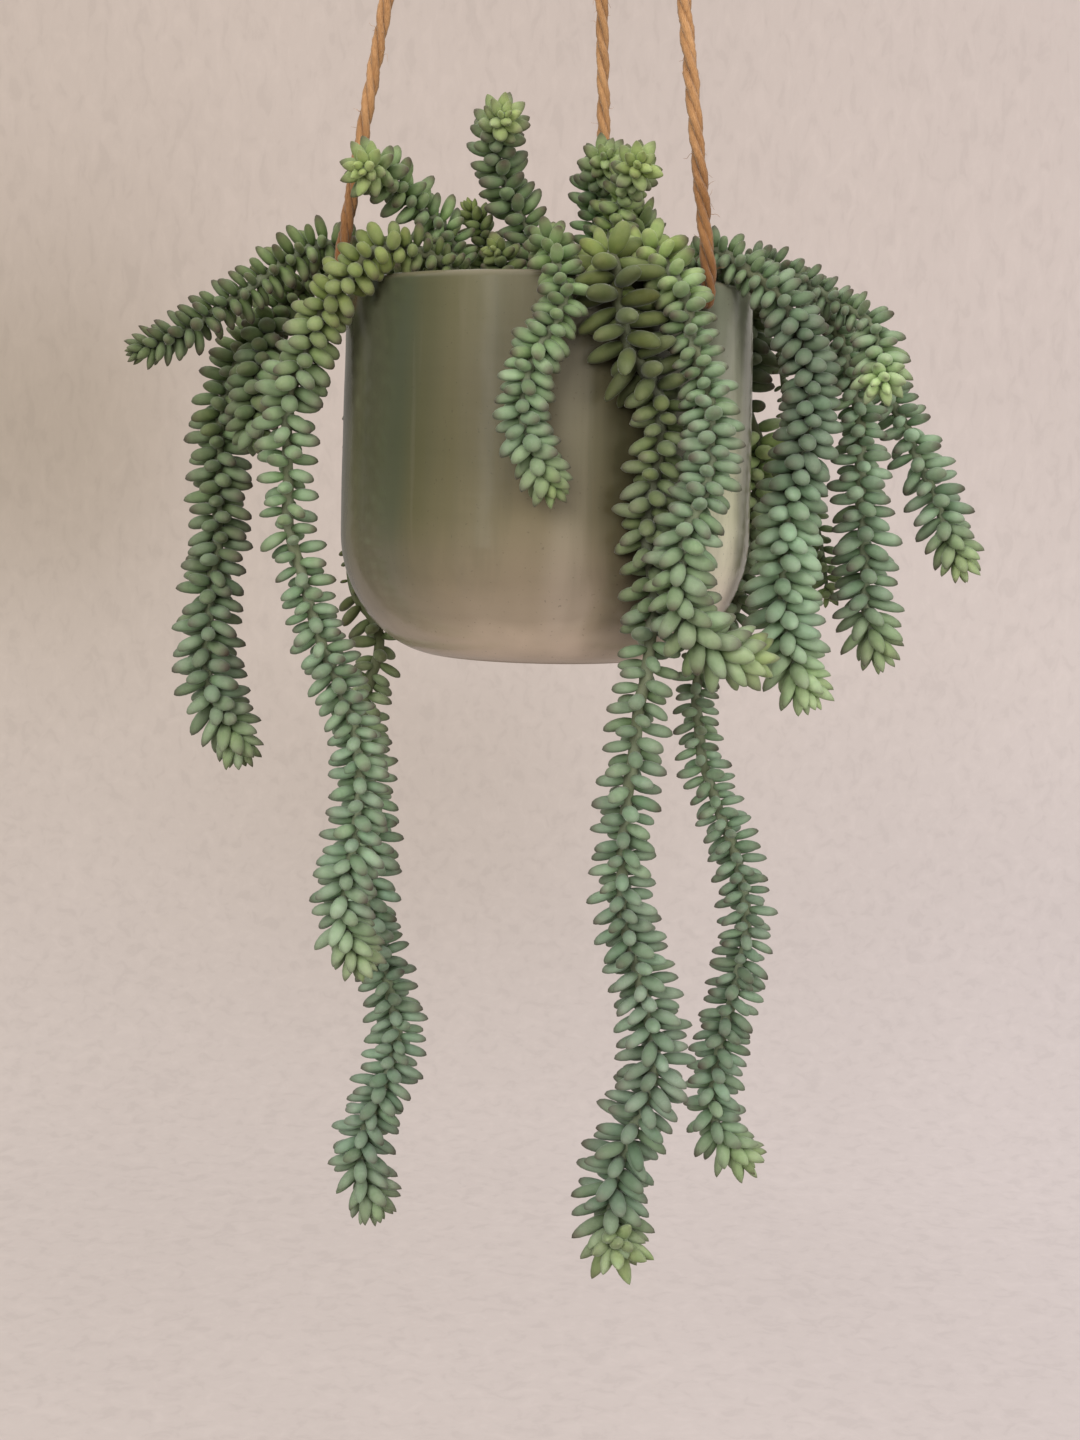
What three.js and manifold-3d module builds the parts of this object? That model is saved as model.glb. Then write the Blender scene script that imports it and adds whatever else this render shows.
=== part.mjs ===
// A burros tail plant in a hanging ceramic pot, in millimetres, +Z up.
// The origin is the point where a hook carries the hanging loop, so everything else hangs below it.
// -Y is the front. The pot's axis is the Z axis.
import * as THREE from "three";
import { mergeVertices } from "three/addons/utils/BufferGeometryUtils.js";
import Module from "manifold-3d";

// ---- driving dimensions ----
const RIM_Z = -383; // top of the pot's rim below the loop's bearing point
const POT_R = 75; // largest outer radius, a little above the rounded foot
const RIM_R = 73.4; // outer radius at the rim: the wall leans in slightly
const POT_H = 133.2; // rim to foot
const FOOT_R = 37; // radius of the flat foot
const FOOT_ROUND = 45.2; // height of the rounded lower corner
const WALL = 4.8; // wall thickness
const FLOOR = 6; // floor thickness
const LIP = 2.4; // half width of the rounded rim
const HOLE_R = 5; // rope holes through the wall
const HOLE_DROP = 11.5; // rope holes below the rim
const ROPE_AZ = { left: -77, right: 43, back: 163 }; // degrees from the front, towards +X
const ROPE_D = 5; // laid jute rope
const ROPE_LEAN = 0.168; // each rope leans in by this much for each unit of height beside the plant
const KNOT_TOP = -38; // gathering knot under the loop
const KNOT_BOTTOM = -63;
const KNOT_R = 9;
const LOOP_HALF = 13.5; // half the loop's width, to the rope's middle
const SOIL_DROP = 17.8; // soil surface below the rim
const STEM_SIDES = 8;
const GAP = 0.3; // between pieces that touch

const wasm = await Module();
wasm.setup();

// ---- booleans ----
function solid(geometry) {
  const g = geometry.clone();
  g.deleteAttribute("normal");
  g.deleteAttribute("uv");
  const m = mergeVertices(g, 1e-3);
  return new wasm.Manifold(
    new wasm.Mesh({
      numProp: 3,
      vertProperties: new Float32Array(m.attributes.position.array),
      triVerts: new Uint32Array(m.index.array),
    }),
  );
}
function geometryOf(manifold) {
  const m = manifold.getMesh();
  const v = new Float32Array(m.numVert * 3);
  for (let i = 0; i < m.numVert; i++)
    v.set(m.vertProperties.subarray(i * m.numProp, i * m.numProp + 3), i * 3);
  const g = new THREE.BufferGeometry();
  g.setAttribute("position", new THREE.BufferAttribute(v, 3));
  g.setIndex(new THREE.BufferAttribute(new Uint32Array(m.triVerts), 1));
  g.computeVertexNormals();
  return g;
}

// ---- materials ----
const glaze = new THREE.MeshStandardMaterial({ color: 0x716c5a, roughness: 0.22, metalness: 0 });
const mix = new THREE.MeshStandardMaterial({ color: 0x3a2c20, roughness: 0.95, metalness: 0 });
const jute = new THREE.MeshStandardMaterial({ color: 0xb9713c, roughness: 0.9, metalness: 0 });
const leafGlaucous = new THREE.MeshStandardMaterial({ color: 0x7da088, roughness: 0.6, metalness: 0 });
const leafYoung = new THREE.MeshStandardMaterial({ color: 0x93ad66, roughness: 0.55, metalness: 0 });

const plant = new THREE.Group();
plant.name = "potted_burros_tail_plant";
function add(name, geometry, material, parent = plant) {
  const mesh = new THREE.Mesh(geometry, material);
  mesh.name = name;
  parent.add(mesh);
  return mesh;
}

// ---- pot and soil share one group whose origin is the middle of the rim ----
const vessel = new THREE.Group();
vessel.position.set(0, 0, RIM_Z);
plant.add(vessel);

const polar = (azimuth, radius, z) => {
  const a = THREE.MathUtils.degToRad(azimuth);
  return new THREE.Vector3(radius * Math.sin(a), -radius * Math.cos(a), z);
};

// outer profile, from the foot up to the rim
const outer = [];
outer.push([0, -POT_H + 1.4], [FOOT_R - 9, -POT_H + 1.4], [FOOT_R - 6, -POT_H]);
for (let i = 0; i <= 8; i++) {
  const a = (i / 8) * (Math.PI / 2);
  outer.push([
    FOOT_R + (POT_R - FOOT_R) * Math.sin(a),
    -POT_H + FOOT_ROUND * (1 - Math.cos(a)),
  ]);
}
outer.push([(POT_R + RIM_R) / 2 + 0.3, -40], [RIM_R, -LIP]);
// rounded rim
for (let i = 1; i <= 4; i++) {
  const a = (i / 5) * Math.PI;
  outer.push([RIM_R - LIP + LIP * Math.cos(a), -LIP + LIP * Math.sin(a)]);
}
// inside, back down to the floor
outer.push([RIM_R - WALL, -LIP], [(POT_R + RIM_R) / 2 + 0.3 - WALL, -40]);
for (let i = 6; i >= 0; i--) {
  const a = (i / 6) * (Math.PI / 2);
  outer.push([
    FOOT_R - 4 + (POT_R - WALL - FOOT_R + 4) * Math.sin(a),
    -POT_H + FLOOR + (FOOT_ROUND - FLOOR) * (1 - Math.cos(a)),
  ]);
}
outer.push([0, -POT_H + FLOOR]);
const potBody = new THREE.LatheGeometry(
  outer.map(([r, z]) => new THREE.Vector2(r, z)),
  40,
);
potBody.rotateX(Math.PI / 2);
let pot = solid(potBody);
if (pot.volume() < 0) throw new Error("pot profile runs the wrong way");
for (const az of Object.values(ROPE_AZ)) {
  const hole = new THREE.CylinderGeometry(HOLE_R, HOLE_R, 20, 16);
  hole.applyMatrix4(
    new THREE.Matrix4()
      .makeRotationFromQuaternion(
        new THREE.Quaternion().setFromUnitVectors(
          new THREE.Vector3(0, 1, 0),
          polar(az, 1, 0),
        ),
      )
      .setPosition(polar(az, RIM_R - WALL / 2, -HOLE_DROP)),
  );
  pot = pot.subtract(solid(hole));
}
add("pot", geometryOf(pot), glaze, vessel);

// potting mix: fills the pot up to SOIL_DROP, a little heaped in the middle
const fill = [[0, -POT_H + FLOOR + GAP]];
for (let i = 0; i <= 6; i++) {
  const a = (i / 6) * (Math.PI / 2);
  fill.push([
    FOOT_R - 4.6 + (POT_R - WALL - FOOT_R + 4) * Math.sin(a),
    -POT_H + FLOOR + 0.6 + (FOOT_ROUND - FLOOR) * (1 - Math.cos(a)),
  ]);
}
fill.push([(POT_R + RIM_R) / 2 - WALL - 0.4, -40], [RIM_R - WALL - 0.3, -SOIL_DROP - 0.8]);
fill.push([60, -SOIL_DROP - 0.2], [40, -SOIL_DROP], [18, -SOIL_DROP - 0.3], [0, -SOIL_DROP]);
const mixBody = new THREE.LatheGeometry(
  fill.map(([r, z]) => new THREE.Vector2(r, z)),
  32,
);
mixBody.rotateX(Math.PI / 2);
let soil = solid(mixBody);

// ---- stopper knots: the rope's end, knotted inside the wall, with the stub that fills the hole ----
const KNOT_IN_R = 5.4;
for (const [side, az] of Object.entries(ROPE_AZ)) {
  const middle = polar(az, RIM_R - WALL - 6.6, -HOLE_DROP - 3.4);
  const mouth = polar(az, RIM_R + 0.1, -HOLE_DROP + 0.4);
  const along = mouth.clone().sub(middle);
  const stub = new THREE.CylinderGeometry(ROPE_D / 2, ROPE_D / 2, along.length(), 8);
  stub.applyMatrix4(
    new THREE.Matrix4()
      .makeRotationFromQuaternion(
        new THREE.Quaternion().setFromUnitVectors(
          new THREE.Vector3(0, 1, 0),
          along.clone().normalize(),
        ),
      )
      .setPosition(middle.clone().add(mouth).multiplyScalar(0.5)),
  );
  const ball = new THREE.SphereGeometry(KNOT_IN_R, 10, 8);
  ball.scale(1, 0.92, 0.9);
  ball.translate(middle.x, middle.y, middle.z);
  add("knot_" + side, geometryOf(solid(ball).add(solid(stub))), jute, vessel);
  const room = new THREE.SphereGeometry(KNOT_IN_R + 0.6, 12, 8);
  room.translate(middle.x, middle.y, middle.z);
  const above = new THREE.CylinderGeometry(KNOT_IN_R + 0.4, KNOT_IN_R + 0.4, 12, 12);
  above.rotateX(Math.PI / 2);
  above.translate(middle.x, middle.y, middle.z + 6);
  soil = soil.subtract(solid(room).add(solid(above)));
}
add("soil", geometryOf(soil), mix, vessel);

// ---- ropes: up from the holes, past the rim, then together into the gathering knot ----
const round = (radius, sides) => {
  const s = new THREE.Shape();
  for (let i = 0; i < sides; i++) {
    const a = (i / sides) * 2 * Math.PI;
    if (i) s.lineTo(radius * Math.cos(a), radius * Math.sin(a));
    else s.moveTo(radius, 0);
  }
  s.closePath();
  return s;
};
const KNOT_IN = 3.4; // radius at which the three ropes enter the gathering knot
const KNOT_REL = KNOT_BOTTOM - RIM_Z; // its underside above the rim
export const ropeProfile = () => {
  // radius from the pot's axis and height above the rim, from the hole's mouth to the knot
  const p = [
    [75.6, -HOLE_DROP + 1.9],
    [77.2, -7.6],
    [77.95, -4.4],
    [78.0, -1],
    [77.6, 2.5],
  ];
  const bend = 97;
  const r0 = 77.6 - ROPE_LEAN * (bend - 2.5);
  const span = KNOT_REL - GAP - 1 - bend; // the slanting rope ends just under the knot
  const c = (r0 - ROPE_LEAN * span - KNOT_IN) / (span * span);
  for (const z of [20, 40, 60, 80, 97]) p.push([77.6 - ROPE_LEAN * (z - 2.5), z]);
  for (let i = 1; i <= 10; i++) {
    const s = (span * i) / 10;
    p.push([r0 - ROPE_LEAN * s - c * s * s, bend + s]);
  }
  return p;
};
for (const [side, az] of Object.entries(ROPE_AZ)) {
  const path = new THREE.CatmullRomCurve3(
    ropeProfile().map(([r, z]) => polar(az, r, z)),
  );
  add(
    "rope_" + side,
    new THREE.ExtrudeGeometry(round(ROPE_D / 2, 8), {
      steps: 34,
      bevelEnabled: false,
      extrudePath: path,
    }),
    jute,
    vessel,
  );
}

// ---- gathering knot: the ropes bound together by turns of the same rope ----
const wrap = [[0, KNOT_BOTTOM]];
wrap.push([6.4, KNOT_BOTTOM]);
const TURNS = 5;
const pitch = (KNOT_TOP - KNOT_BOTTOM) / TURNS;
for (let i = 0; i < TURNS; i++) {
  wrap.push([KNOT_R - 0.9, KNOT_BOTTOM + pitch * (i + 0.12)]);
  wrap.push([KNOT_R, KNOT_BOTTOM + pitch * (i + 0.5)]);
  wrap.push([KNOT_R - 0.9, KNOT_BOTTOM + pitch * (i + 0.88)]);
}
wrap.push([6.4, KNOT_TOP], [0, KNOT_TOP]);
const knot = new THREE.LatheGeometry(
  wrap.map(([r, z]) => new THREE.Vector2(r, z)),
  16,
);
knot.rotateX(Math.PI / 2);
add("gathering_knot", knot, jute);

// ---- hanging loop: a bight of the rope above the knot, bearing on the hook at the origin ----
const half = [
  [4.2, KNOT_TOP + 2 * GAP],
  [4.5, KNOT_TOP + 4],
  [8.2, KNOT_TOP + 11],
  [11.8, KNOT_TOP + 19],
  [LOOP_HALF, KNOT_TOP + 27],
  [12.2, -4.6],
  [7.4, 0.6],
];
const loopPoints = [
  ...half.map(([x, z]) => new THREE.Vector3(-x, 0, z)),
  new THREE.Vector3(0, 0, ROPE_D / 2),
  ...half.reverse().map(([x, z]) => new THREE.Vector3(x, 0, z)),
];
add(
  "hanging_loop",
  new THREE.ExtrudeGeometry(round(ROPE_D / 2, 8), {
    steps: 40,
    bevelEnabled: false,
    extrudePath: new THREE.CatmullRomCurve3(loopPoints),
  }),
  jute,
);

// ---- stems, each with the leaves that grow on it ----
// Each entry is the stem's middle line, root first: x, y, z and the radius of the leafy body.
const STEMS = {
  stem_left_arching: [
    [-38.0, -1.3, -398.0, 2.2], [-43.9, -0.8, -390.3, 2.2], [-50.2, -0.2, -382.8, 2.6], [-58.1, 1.1, -377.3, 3.0],
    [-67.0, 2.3, -373.5, 3.4], [-75.9, 2.3, -369.6, 3.8], [-84.2, -1.9, -369.2, 4.4], [-92.3, -5.5, -373.3, 5.1],
    [-99.7, -8.1, -379.0, 5.5], [-106.8, -11.0, -385.1, 5.4], [-114.6, -13.3, -390.6, 5.2], [-122.0, -15.5, -396.4, 5.0],
    [-129.5, -17.8, -402.1, 4.9], [-138.1, -19.5, -406.3, 4.5], [-146.8, -22.0, -410.0, 2.2],
  ],
  stem_left_outer: [
    [-32.3, 10.5, -398.0, 2.2], [-39.9, 13.0, -392.5, 2.2], [-47.5, 15.4, -387.0, 2.2], [-55.0, 18.0, -381.3, 2.5],
    [-63.2, 20.5, -377.0, 2.8], [-72.3, 23.0, -374.9, 3.1], [-81.7, 25.2, -374.2, 3.4], [-90.4, 25.3, -377.2, 4.5],
    [-95.9, 22.8, -384.7, 5.9], [-102.6, 21.0, -391.5, 7.0], [-108.8, 19.1, -398.6, 7.0], [-113.9, 17.1, -406.6, 7.1],
    [-117.8, 15.6, -415.3, 7.1], [-120.9, 15.2, -424.5, 7.2], [-122.3, 14.8, -434.1, 7.3], [-122.7, 14.3, -443.8, 7.3],
    [-122.4, 13.9, -453.4, 7.4], [-122.2, 13.5, -463.1, 7.5], [-122.7, 12.8, -472.7, 7.5], [-122.8, 12.2, -482.3, 7.6],
    [-124.9, 11.5, -491.7, 7.7], [-125.4, 10.9, -501.4, 7.7], [-126.0, 10.5, -511.1, 7.8], [-126.4, 10.1, -520.7, 7.9],
    [-125.2, 9.5, -530.3, 7.9], [-122.3, 9.0, -539.4, 7.2], [-117.0, 8.4, -547.5, 6.3], [-112.9, 8.0, -556.2, 2.2],
  ],
  stem_left_inner: [
    [-20.1, -22.3, -398.0, 2.4], [-22.3, -25.1, -389.2, 3.0], [-26.2, -29.8, -381.9, 3.7], [-31.1, -35.3, -375.7, 4.3],
    [-36.8, -40.8, -370.5, 5.0], [-44.8, -45.0, -369.6, 5.5], [-53.4, -47.6, -373.0, 5.8], [-61.5, -50.1, -377.2, 6.1],
    [-68.0, -48.3, -383.8, 6.4], [-74.1, -45.7, -390.7, 6.4], [-78.9, -43.4, -398.6, 6.4], [-82.5, -41.3, -407.2, 6.4],
    [-86.4, -39.4, -415.7, 6.5], [-89.8, -37.5, -424.5, 6.5], [-91.2, -35.9, -433.8, 6.5], [-90.9, -34.7, -443.2, 6.4],
    [-90.6, -34.3, -452.8, 6.4], [-90.7, -33.9, -462.4, 6.3], [-90.0, -33.6, -471.9, 6.2], [-87.4, -33.3, -481.1, 6.2],
    [-84.7, -33.0, -490.2, 6.2], [-82.3, -32.7, -499.5, 6.4], [-79.4, -32.5, -508.6, 6.6], [-75.8, -32.2, -517.5, 6.8],
    [-72.0, -32.0, -526.3, 6.8], [-68.4, -31.8, -535.1, 6.8], [-66.3, -31.6, -544.4, 6.8], [-64.8, -31.4, -553.9, 6.8],
    [-64.4, -31.3, -563.4, 6.8], [-65.0, -31.1, -573.0, 6.8], [-66.0, -31.0, -582.5, 6.7], [-67.8, -30.8, -591.9, 6.7],
    [-69.4, -30.6, -601.3, 6.7], [-69.6, -30.4, -610.9, 6.2], [-66.9, -30.2, -620.0, 5.6], [-62.5, -30.0, -628.5, 2.2],
  ],
  stem_left_back: [
    [-27.5, 20.0, -398.0, 2.2], [-34.6, 24.2, -393.3, 2.4], [-41.9, 28.1, -388.5, 2.5], [-48.5, 33.0, -383.5, 2.7],
    [-54.9, 37.9, -378.3, 2.8], [-62.1, 43.4, -376.6, 3.0], [-67.5, 47.7, -383.2, 3.1], [-70.8, 50.1, -391.7, 3.3],
    [-72.4, 51.0, -401.1, 3.5], [-73.2, 51.1, -410.7, 3.6], [-73.7, 51.1, -420.3, 3.8], [-74.2, 51.0, -429.8, 3.9],
    [-74.4, 50.8, -439.4, 4.1], [-74.5, 50.5, -449.0, 4.2], [-74.7, 50.0, -458.6, 4.4], [-75.4, 49.4, -468.1, 4.6],
    [-76.1, 48.6, -477.6, 4.7], [-76.3, 47.6, -487.2, 4.9], [-74.5, 46.1, -496.4, 5.2], [-69.3, 44.3, -504.1, 5.4],
    [-64.3, 42.2, -511.9, 5.7], [-64.3, 40.5, -521.2, 5.9], [-66.4, 39.4, -530.5, 6.2], [-65.7, 38.1, -539.9, 6.4],
    [-63.1, 36.7, -549.0, 6.7], [-61.4, 35.5, -558.3, 6.9], [-60.2, 34.3, -567.8, 7.1], [-59.5, 33.1, -577.3, 7.3],
    [-59.2, 32.0, -586.8, 7.5], [-59.1, 30.8, -596.3, 7.7], [-59.1, 29.6, -605.8, 7.8], [-59.0, 28.4, -615.3, 7.8],
    [-58.7, 27.2, -624.8, 7.8], [-57.9, 25.7, -634.2, 7.8], [-56.9, 23.8, -643.6, 7.8], [-56.0, 21.9, -652.9, 7.9],
    [-54.0, 21.2, -662.2, 7.9], [-53.9, 20.2, -671.6, 7.9], [-55.7, 19.2, -680.9, 7.9], [-59.5, 18.2, -689.6, 7.9],
    [-62.7, 17.2, -698.4, 8.0], [-65.2, 16.5, -707.5, 7.9], [-66.5, 15.7, -717.0, 7.4], [-64.0, 14.8, -726.1, 6.4],
    [-60.0, 14.0, -734.8, 2.2],
  ],
  stem_front_centre: [
    [2.0, -37.9, -398.0, 2.2], [2.6, -44.6, -391.0, 2.7], [2.5, -51.7, -384.4, 3.3], [0.8, -58.8, -377.9, 3.9],
    [-0.9, -66.9, -373.3, 4.6], [0.3, -75.3, -377.5, 4.1], [2.5, -81.5, -384.5, 5.6], [4.4, -85.1, -393.2, 5.7],
    [1.4, -86.6, -402.1, 5.7], [-4.0, -86.9, -410.2, 5.7], [-6.9, -86.5, -419.4, 5.8], [-8.4, -86.1, -428.9, 5.8],
    [-6.5, -85.7, -438.4, 5.6], [-2.4, -85.3, -447.1, 5.2], [1.9, -85.0, -455.8, 2.2],
  ],
  stem_front_right: [
    [19.0, -32.9, -398.0, 2.3], [22.3, -38.6, -391.1, 2.9], [25.6, -45.0, -384.8, 3.6], [28.7, -52.4, -379.7, 4.2],
    [31.9, -60.4, -375.5, 4.8], [35.3, -67.7, -377.3, 4.4], [39.4, -73.1, -384.0, 6.3], [44.0, -76.9, -391.3, 7.2],
    [45.6, -78.9, -400.5, 7.5], [47.5, -80.8, -409.5, 7.8], [50.5, -82.6, -418.4, 8.1], [52.8, -84.0, -427.6, 8.2],
    [53.2, -85.2, -437.1, 8.2], [53.1, -86.5, -446.5, 8.2], [51.0, -87.9, -455.7, 8.1], [47.2, -89.2, -464.3, 8.0],
    [45.0, -88.5, -473.6, 7.9], [44.0, -87.1, -482.9, 7.8], [45.5, -84.8, -492.0, 7.6], [49.5, -81.4, -499.9, 7.3],
    [56.1, -77.8, -505.7, 6.8], [64.2, -74.1, -508.8, 6.0], [72.7, -70.0, -510.8, 2.2],
  ],
  stem_front_long: [
    [10.5, -34.4, -398.0, 2.2], [12.9, -41.8, -392.2, 2.6], [15.1, -49.4, -386.7, 3.1], [16.8, -57.8, -382.2, 3.7],
    [18.4, -66.7, -379.0, 3.9], [20.8, -75.2, -380.9, 4.3], [21.6, -77.7, -390.1, 5.1], [23.5, -79.7, -399.3, 5.4],
    [26.1, -79.4, -408.5, 5.8], [31.8, -79.0, -416.3, 6.0], [36.5, -78.5, -424.6, 6.1], [37.1, -78.1, -434.2, 6.2],
    [37.1, -77.6, -443.8, 6.3], [35.3, -76.8, -453.3, 6.5], [34.1, -76.1, -462.9, 6.6], [33.8, -75.0, -472.4, 6.7],
    [36.0, -73.3, -481.7, 6.9], [36.9, -71.6, -491.1, 7.1], [36.4, -71.5, -500.8, 7.2], [35.8, -72.0, -510.4, 7.4],
    [34.4, -72.3, -519.9, 7.5], [32.8, -72.5, -529.4, 7.5], [32.2, -72.8, -539.1, 7.6], [31.0, -72.9, -548.6, 7.6],
    [29.9, -72.9, -558.2, 7.7], [29.3, -72.8, -567.9, 7.7], [28.9, -72.7, -577.5, 7.7], [28.9, -72.6, -587.2, 7.8],
    [29.5, -72.4, -596.8, 7.8], [31.8, -72.2, -606.2, 7.9], [34.4, -72.0, -615.5, 7.9], [37.3, -71.7, -624.7, 8.0],
    [39.6, -71.4, -634.0, 8.0], [41.6, -71.1, -643.5, 8.1], [41.8, -70.8, -653.1, 8.1], [39.7, -70.4, -662.5, 8.1],
    [36.1, -70.1, -671.5, 8.2], [32.8, -69.7, -680.5, 8.2], [30.1, -69.3, -689.8, 8.2], [28.8, -69.0, -699.3, 7.7],
    [28.5, -68.6, -709.0, 7.0], [30.3, -68.3, -718.5, 6.0], [31.8, -68.0, -728.0, 2.2],
  ],
  stem_right_back: [
    [30.0, 16.0, -398.0, 2.4], [37.5, 20.0, -393.3, 2.6], [44.8, 24.2, -388.7, 2.9], [52.1, 28.2, -383.6, 3.1],
    [59.2, 32.0, -378.3, 3.4], [67.4, 36.3, -376.6, 3.7], [73.4, 39.5, -383.2, 3.9], [77.0, 41.2, -391.9, 4.2],
    [79.0, 41.8, -401.4, 4.4], [80.3, 42.0, -411.0, 4.7], [81.4, 42.1, -420.6, 5.0], [82.3, 42.1, -430.3, 5.2],
    [82.6, 42.0, -439.9, 5.3], [82.0, 41.7, -449.6, 5.3], [81.5, 41.5, -459.3, 5.3], [80.4, 41.3, -468.9, 5.3],
    [78.9, 41.1, -478.5, 5.3], [77.4, 40.8, -488.0, 5.3], [75.8, 40.6, -497.6, 5.3], [71.8, 40.3, -506.3, 5.3],
    [66.5, 40.0, -514.4, 5.3], [62.2, 39.4, -523.0, 5.5], [60.3, 38.6, -532.5, 5.8], [61.2, 37.5, -542.0, 6.0],
    [62.4, 36.1, -551.5, 6.3], [64.0, 34.7, -560.8, 6.6], [67.2, 33.4, -569.8, 6.9], [70.4, 31.7, -578.8, 7.0],
    [74.3, 30.4, -587.6, 7.0], [77.5, 29.6, -596.7, 7.1], [80.0, 29.1, -606.0, 7.1], [81.6, 28.4, -615.5, 7.1],
    [82.3, 27.7, -625.2, 7.1], [81.0, 26.8, -634.7, 7.2], [78.9, 26.0, -644.1, 7.2], [77.1, 25.0, -653.6, 7.2],
    [74.4, 24.3, -662.8, 7.2], [72.7, 23.5, -672.3, 7.3], [71.6, 22.8, -681.9, 7.3], [70.7, 22.0, -691.5, 7.2],
    [72.4, 21.2, -700.9, 6.7], [77.7, 20.6, -708.9, 6.0], [85.3, 20.0, -714.9, 2.2],
  ],
  stem_right_1: [
    [30.5, -19.1, -398.0, 2.4], [36.3, -23.7, -391.7, 3.1], [42.0, -28.8, -385.5, 3.7], [47.8, -32.6, -378.6, 4.4],
    [54.2, -35.9, -372.0, 5.0], [61.9, -39.3, -372.7, 5.7], [69.3, -41.5, -378.6, 6.1], [76.6, -41.9, -385.1, 7.2],
    [82.2, -42.2, -393.1, 7.9], [86.7, -41.5, -401.8, 8.0], [89.7, -40.3, -411.0, 8.1], [90.3, -39.2, -420.7, 8.2],
    [90.5, -38.2, -430.4, 8.2], [89.7, -37.4, -440.2, 8.2], [87.7, -36.8, -449.7, 8.2], [85.4, -36.2, -459.2, 8.2],
    [84.6, -35.7, -469.0, 8.2], [84.3, -35.3, -478.8, 8.2], [84.4, -35.0, -488.6, 8.2], [85.7, -34.7, -498.3, 8.2],
    [87.2, -34.5, -507.9, 7.8], [90.3, -34.2, -517.1, 6.8], [94.7, -34.0, -525.9, 2.2],
  ],
  stem_right_2: [
    [36.0, -1.3, -398.0, 2.2], [43.2, -1.8, -391.7, 2.3], [50.8, -1.9, -385.8, 2.6], [58.9, -1.0, -380.8, 3.0],
    [67.2, 0.2, -376.1, 3.4], [75.7, 1.5, -372.0, 3.8], [84.8, 2.6, -372.4, 4.4], [92.4, 3.3, -378.1, 5.3],
    [99.6, 4.2, -384.3, 6.2], [104.4, 5.0, -392.5, 7.0], [107.8, 5.6, -401.5, 7.1], [110.8, 5.9, -410.6, 7.2],
    [113.8, 5.8, -419.7, 7.3], [115.3, 5.7, -429.1, 7.3], [115.9, 5.6, -438.7, 7.4], [116.4, 5.4, -448.3, 7.5],
    [116.9, 5.2, -457.8, 7.5], [118.3, 5.0, -467.3, 7.6], [119.1, 4.8, -476.9, 7.7], [119.5, 4.6, -486.4, 7.6],
    [119.9, 4.4, -496.0, 7.1], [122.5, 4.2, -505.2, 6.2], [126.1, 4.0, -514.1, 2.2],
  ],
  stem_right_3: [
    [32.5, -9.9, -398.0, 2.2], [38.6, -12.2, -390.8, 2.3], [45.1, -13.9, -383.8, 2.7], [52.5, -14.2, -377.6, 3.1],
    [60.2, -14.0, -371.7, 3.5], [68.4, -14.1, -366.5, 3.9], [77.4, -16.7, -366.7, 5.1], [86.0, -18.9, -370.6, 6.2],
    [94.1, -20.8, -375.6, 6.3], [101.7, -22.9, -381.2, 6.3], [108.5, -25.0, -387.7, 6.2], [113.5, -27.2, -395.7, 5.8],
    [115.9, -30.0, -404.6, 2.2],
  ],
  stem_right_4: [
    [35.1, 8.1, -398.0, 2.2], [41.7, 9.5, -391.3, 2.2], [48.8, 11.1, -385.3, 2.4], [57.0, 13.5, -381.0, 2.7],
    [65.4, 16.3, -377.6, 3.0], [73.9, 19.2, -374.5, 3.3], [82.6, 22.0, -372.0, 3.6], [91.7, 24.5, -370.6, 4.0],
    [99.9, 24.7, -374.8, 4.4], [106.7, 24.6, -381.4, 4.9], [112.9, 24.9, -388.6, 5.3], [118.5, 25.1, -396.3, 5.7],
    [123.2, 25.4, -404.6, 5.9], [127.3, 25.7, -413.1, 6.0], [131.3, 25.7, -421.8, 6.1], [136.1, 24.2, -429.7, 6.1],
    [139.3, 22.4, -438.5, 6.2], [143.3, 20.6, -446.9, 6.3], [147.3, 18.8, -455.4, 6.3], [150.3, 17.4, -464.3, 6.4],
    [153.8, 15.8, -473.0, 5.9], [156.9, 14.0, -481.8, 2.2],
  ],
  stem_right_small: [
    [42.7, 17.2, -398.0, 2.2], [48.1, 19.6, -390.5, 2.2], [53.7, 21.8, -383.1, 2.2], [62.4, 24.0, -380.4, 2.1],
    [71.6, 25.7, -382.0, 1.9], [79.7, 27.2, -386.7, 2.2], [85.6, 28.3, -393.9, 2.2], [87.9, 28.8, -403.2, 2.2],
    [89.2, 29.2, -412.6, 2.2], [91.3, 29.7, -421.9, 2.2], [94.0, 30.3, -431.1, 2.2], [96.7, 30.8, -440.2, 2.2],
    [99.5, 31.1, -449.4, 2.2], [102.1, 30.9, -458.6, 2.3], [104.5, 30.2, -467.8, 2.3], [106.4, 28.5, -477.0, 2.3],
    [107.6, 25.2, -485.9, 2.2], [108.1, 20.0, -493.7, 2.2],
  ],
  shoot_left: [
    [-30.0, -12.0, -398.0, 2.2], [-31.5, -13.7, -389.0, 3.0], [-32.9, -15.4, -380.0, 3.8], [-34.5, -17.2, -371.1, 4.5],
    [-38.2, -20.0, -363.3, 5.1], [-45.3, -23.9, -359.0, 5.6], [-52.1, -27.5, -353.8, 6.0], [-58.5, -32.4, -349.3, 5.5],
    [-65.0, -38.0, -345.9, 2.2],
  ],
  shoot_centre: [
    [-6.0, -6.0, -398.0, 2.3], [-6.6, -7.1, -388.6, 3.1], [-7.2, -8.2, -379.2, 4.0], [-7.9, -9.3, -369.8, 4.8],
    [-9.3, -10.5, -360.5, 5.6], [-14.9, -12.1, -353.1, 6.4], [-18.4, -13.6, -344.5, 6.5], [-20.1, -14.7, -335.3, 5.9],
    [-19.2, -16.0, -326.0, 2.2],
  ],
  shoot_right: [
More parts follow.
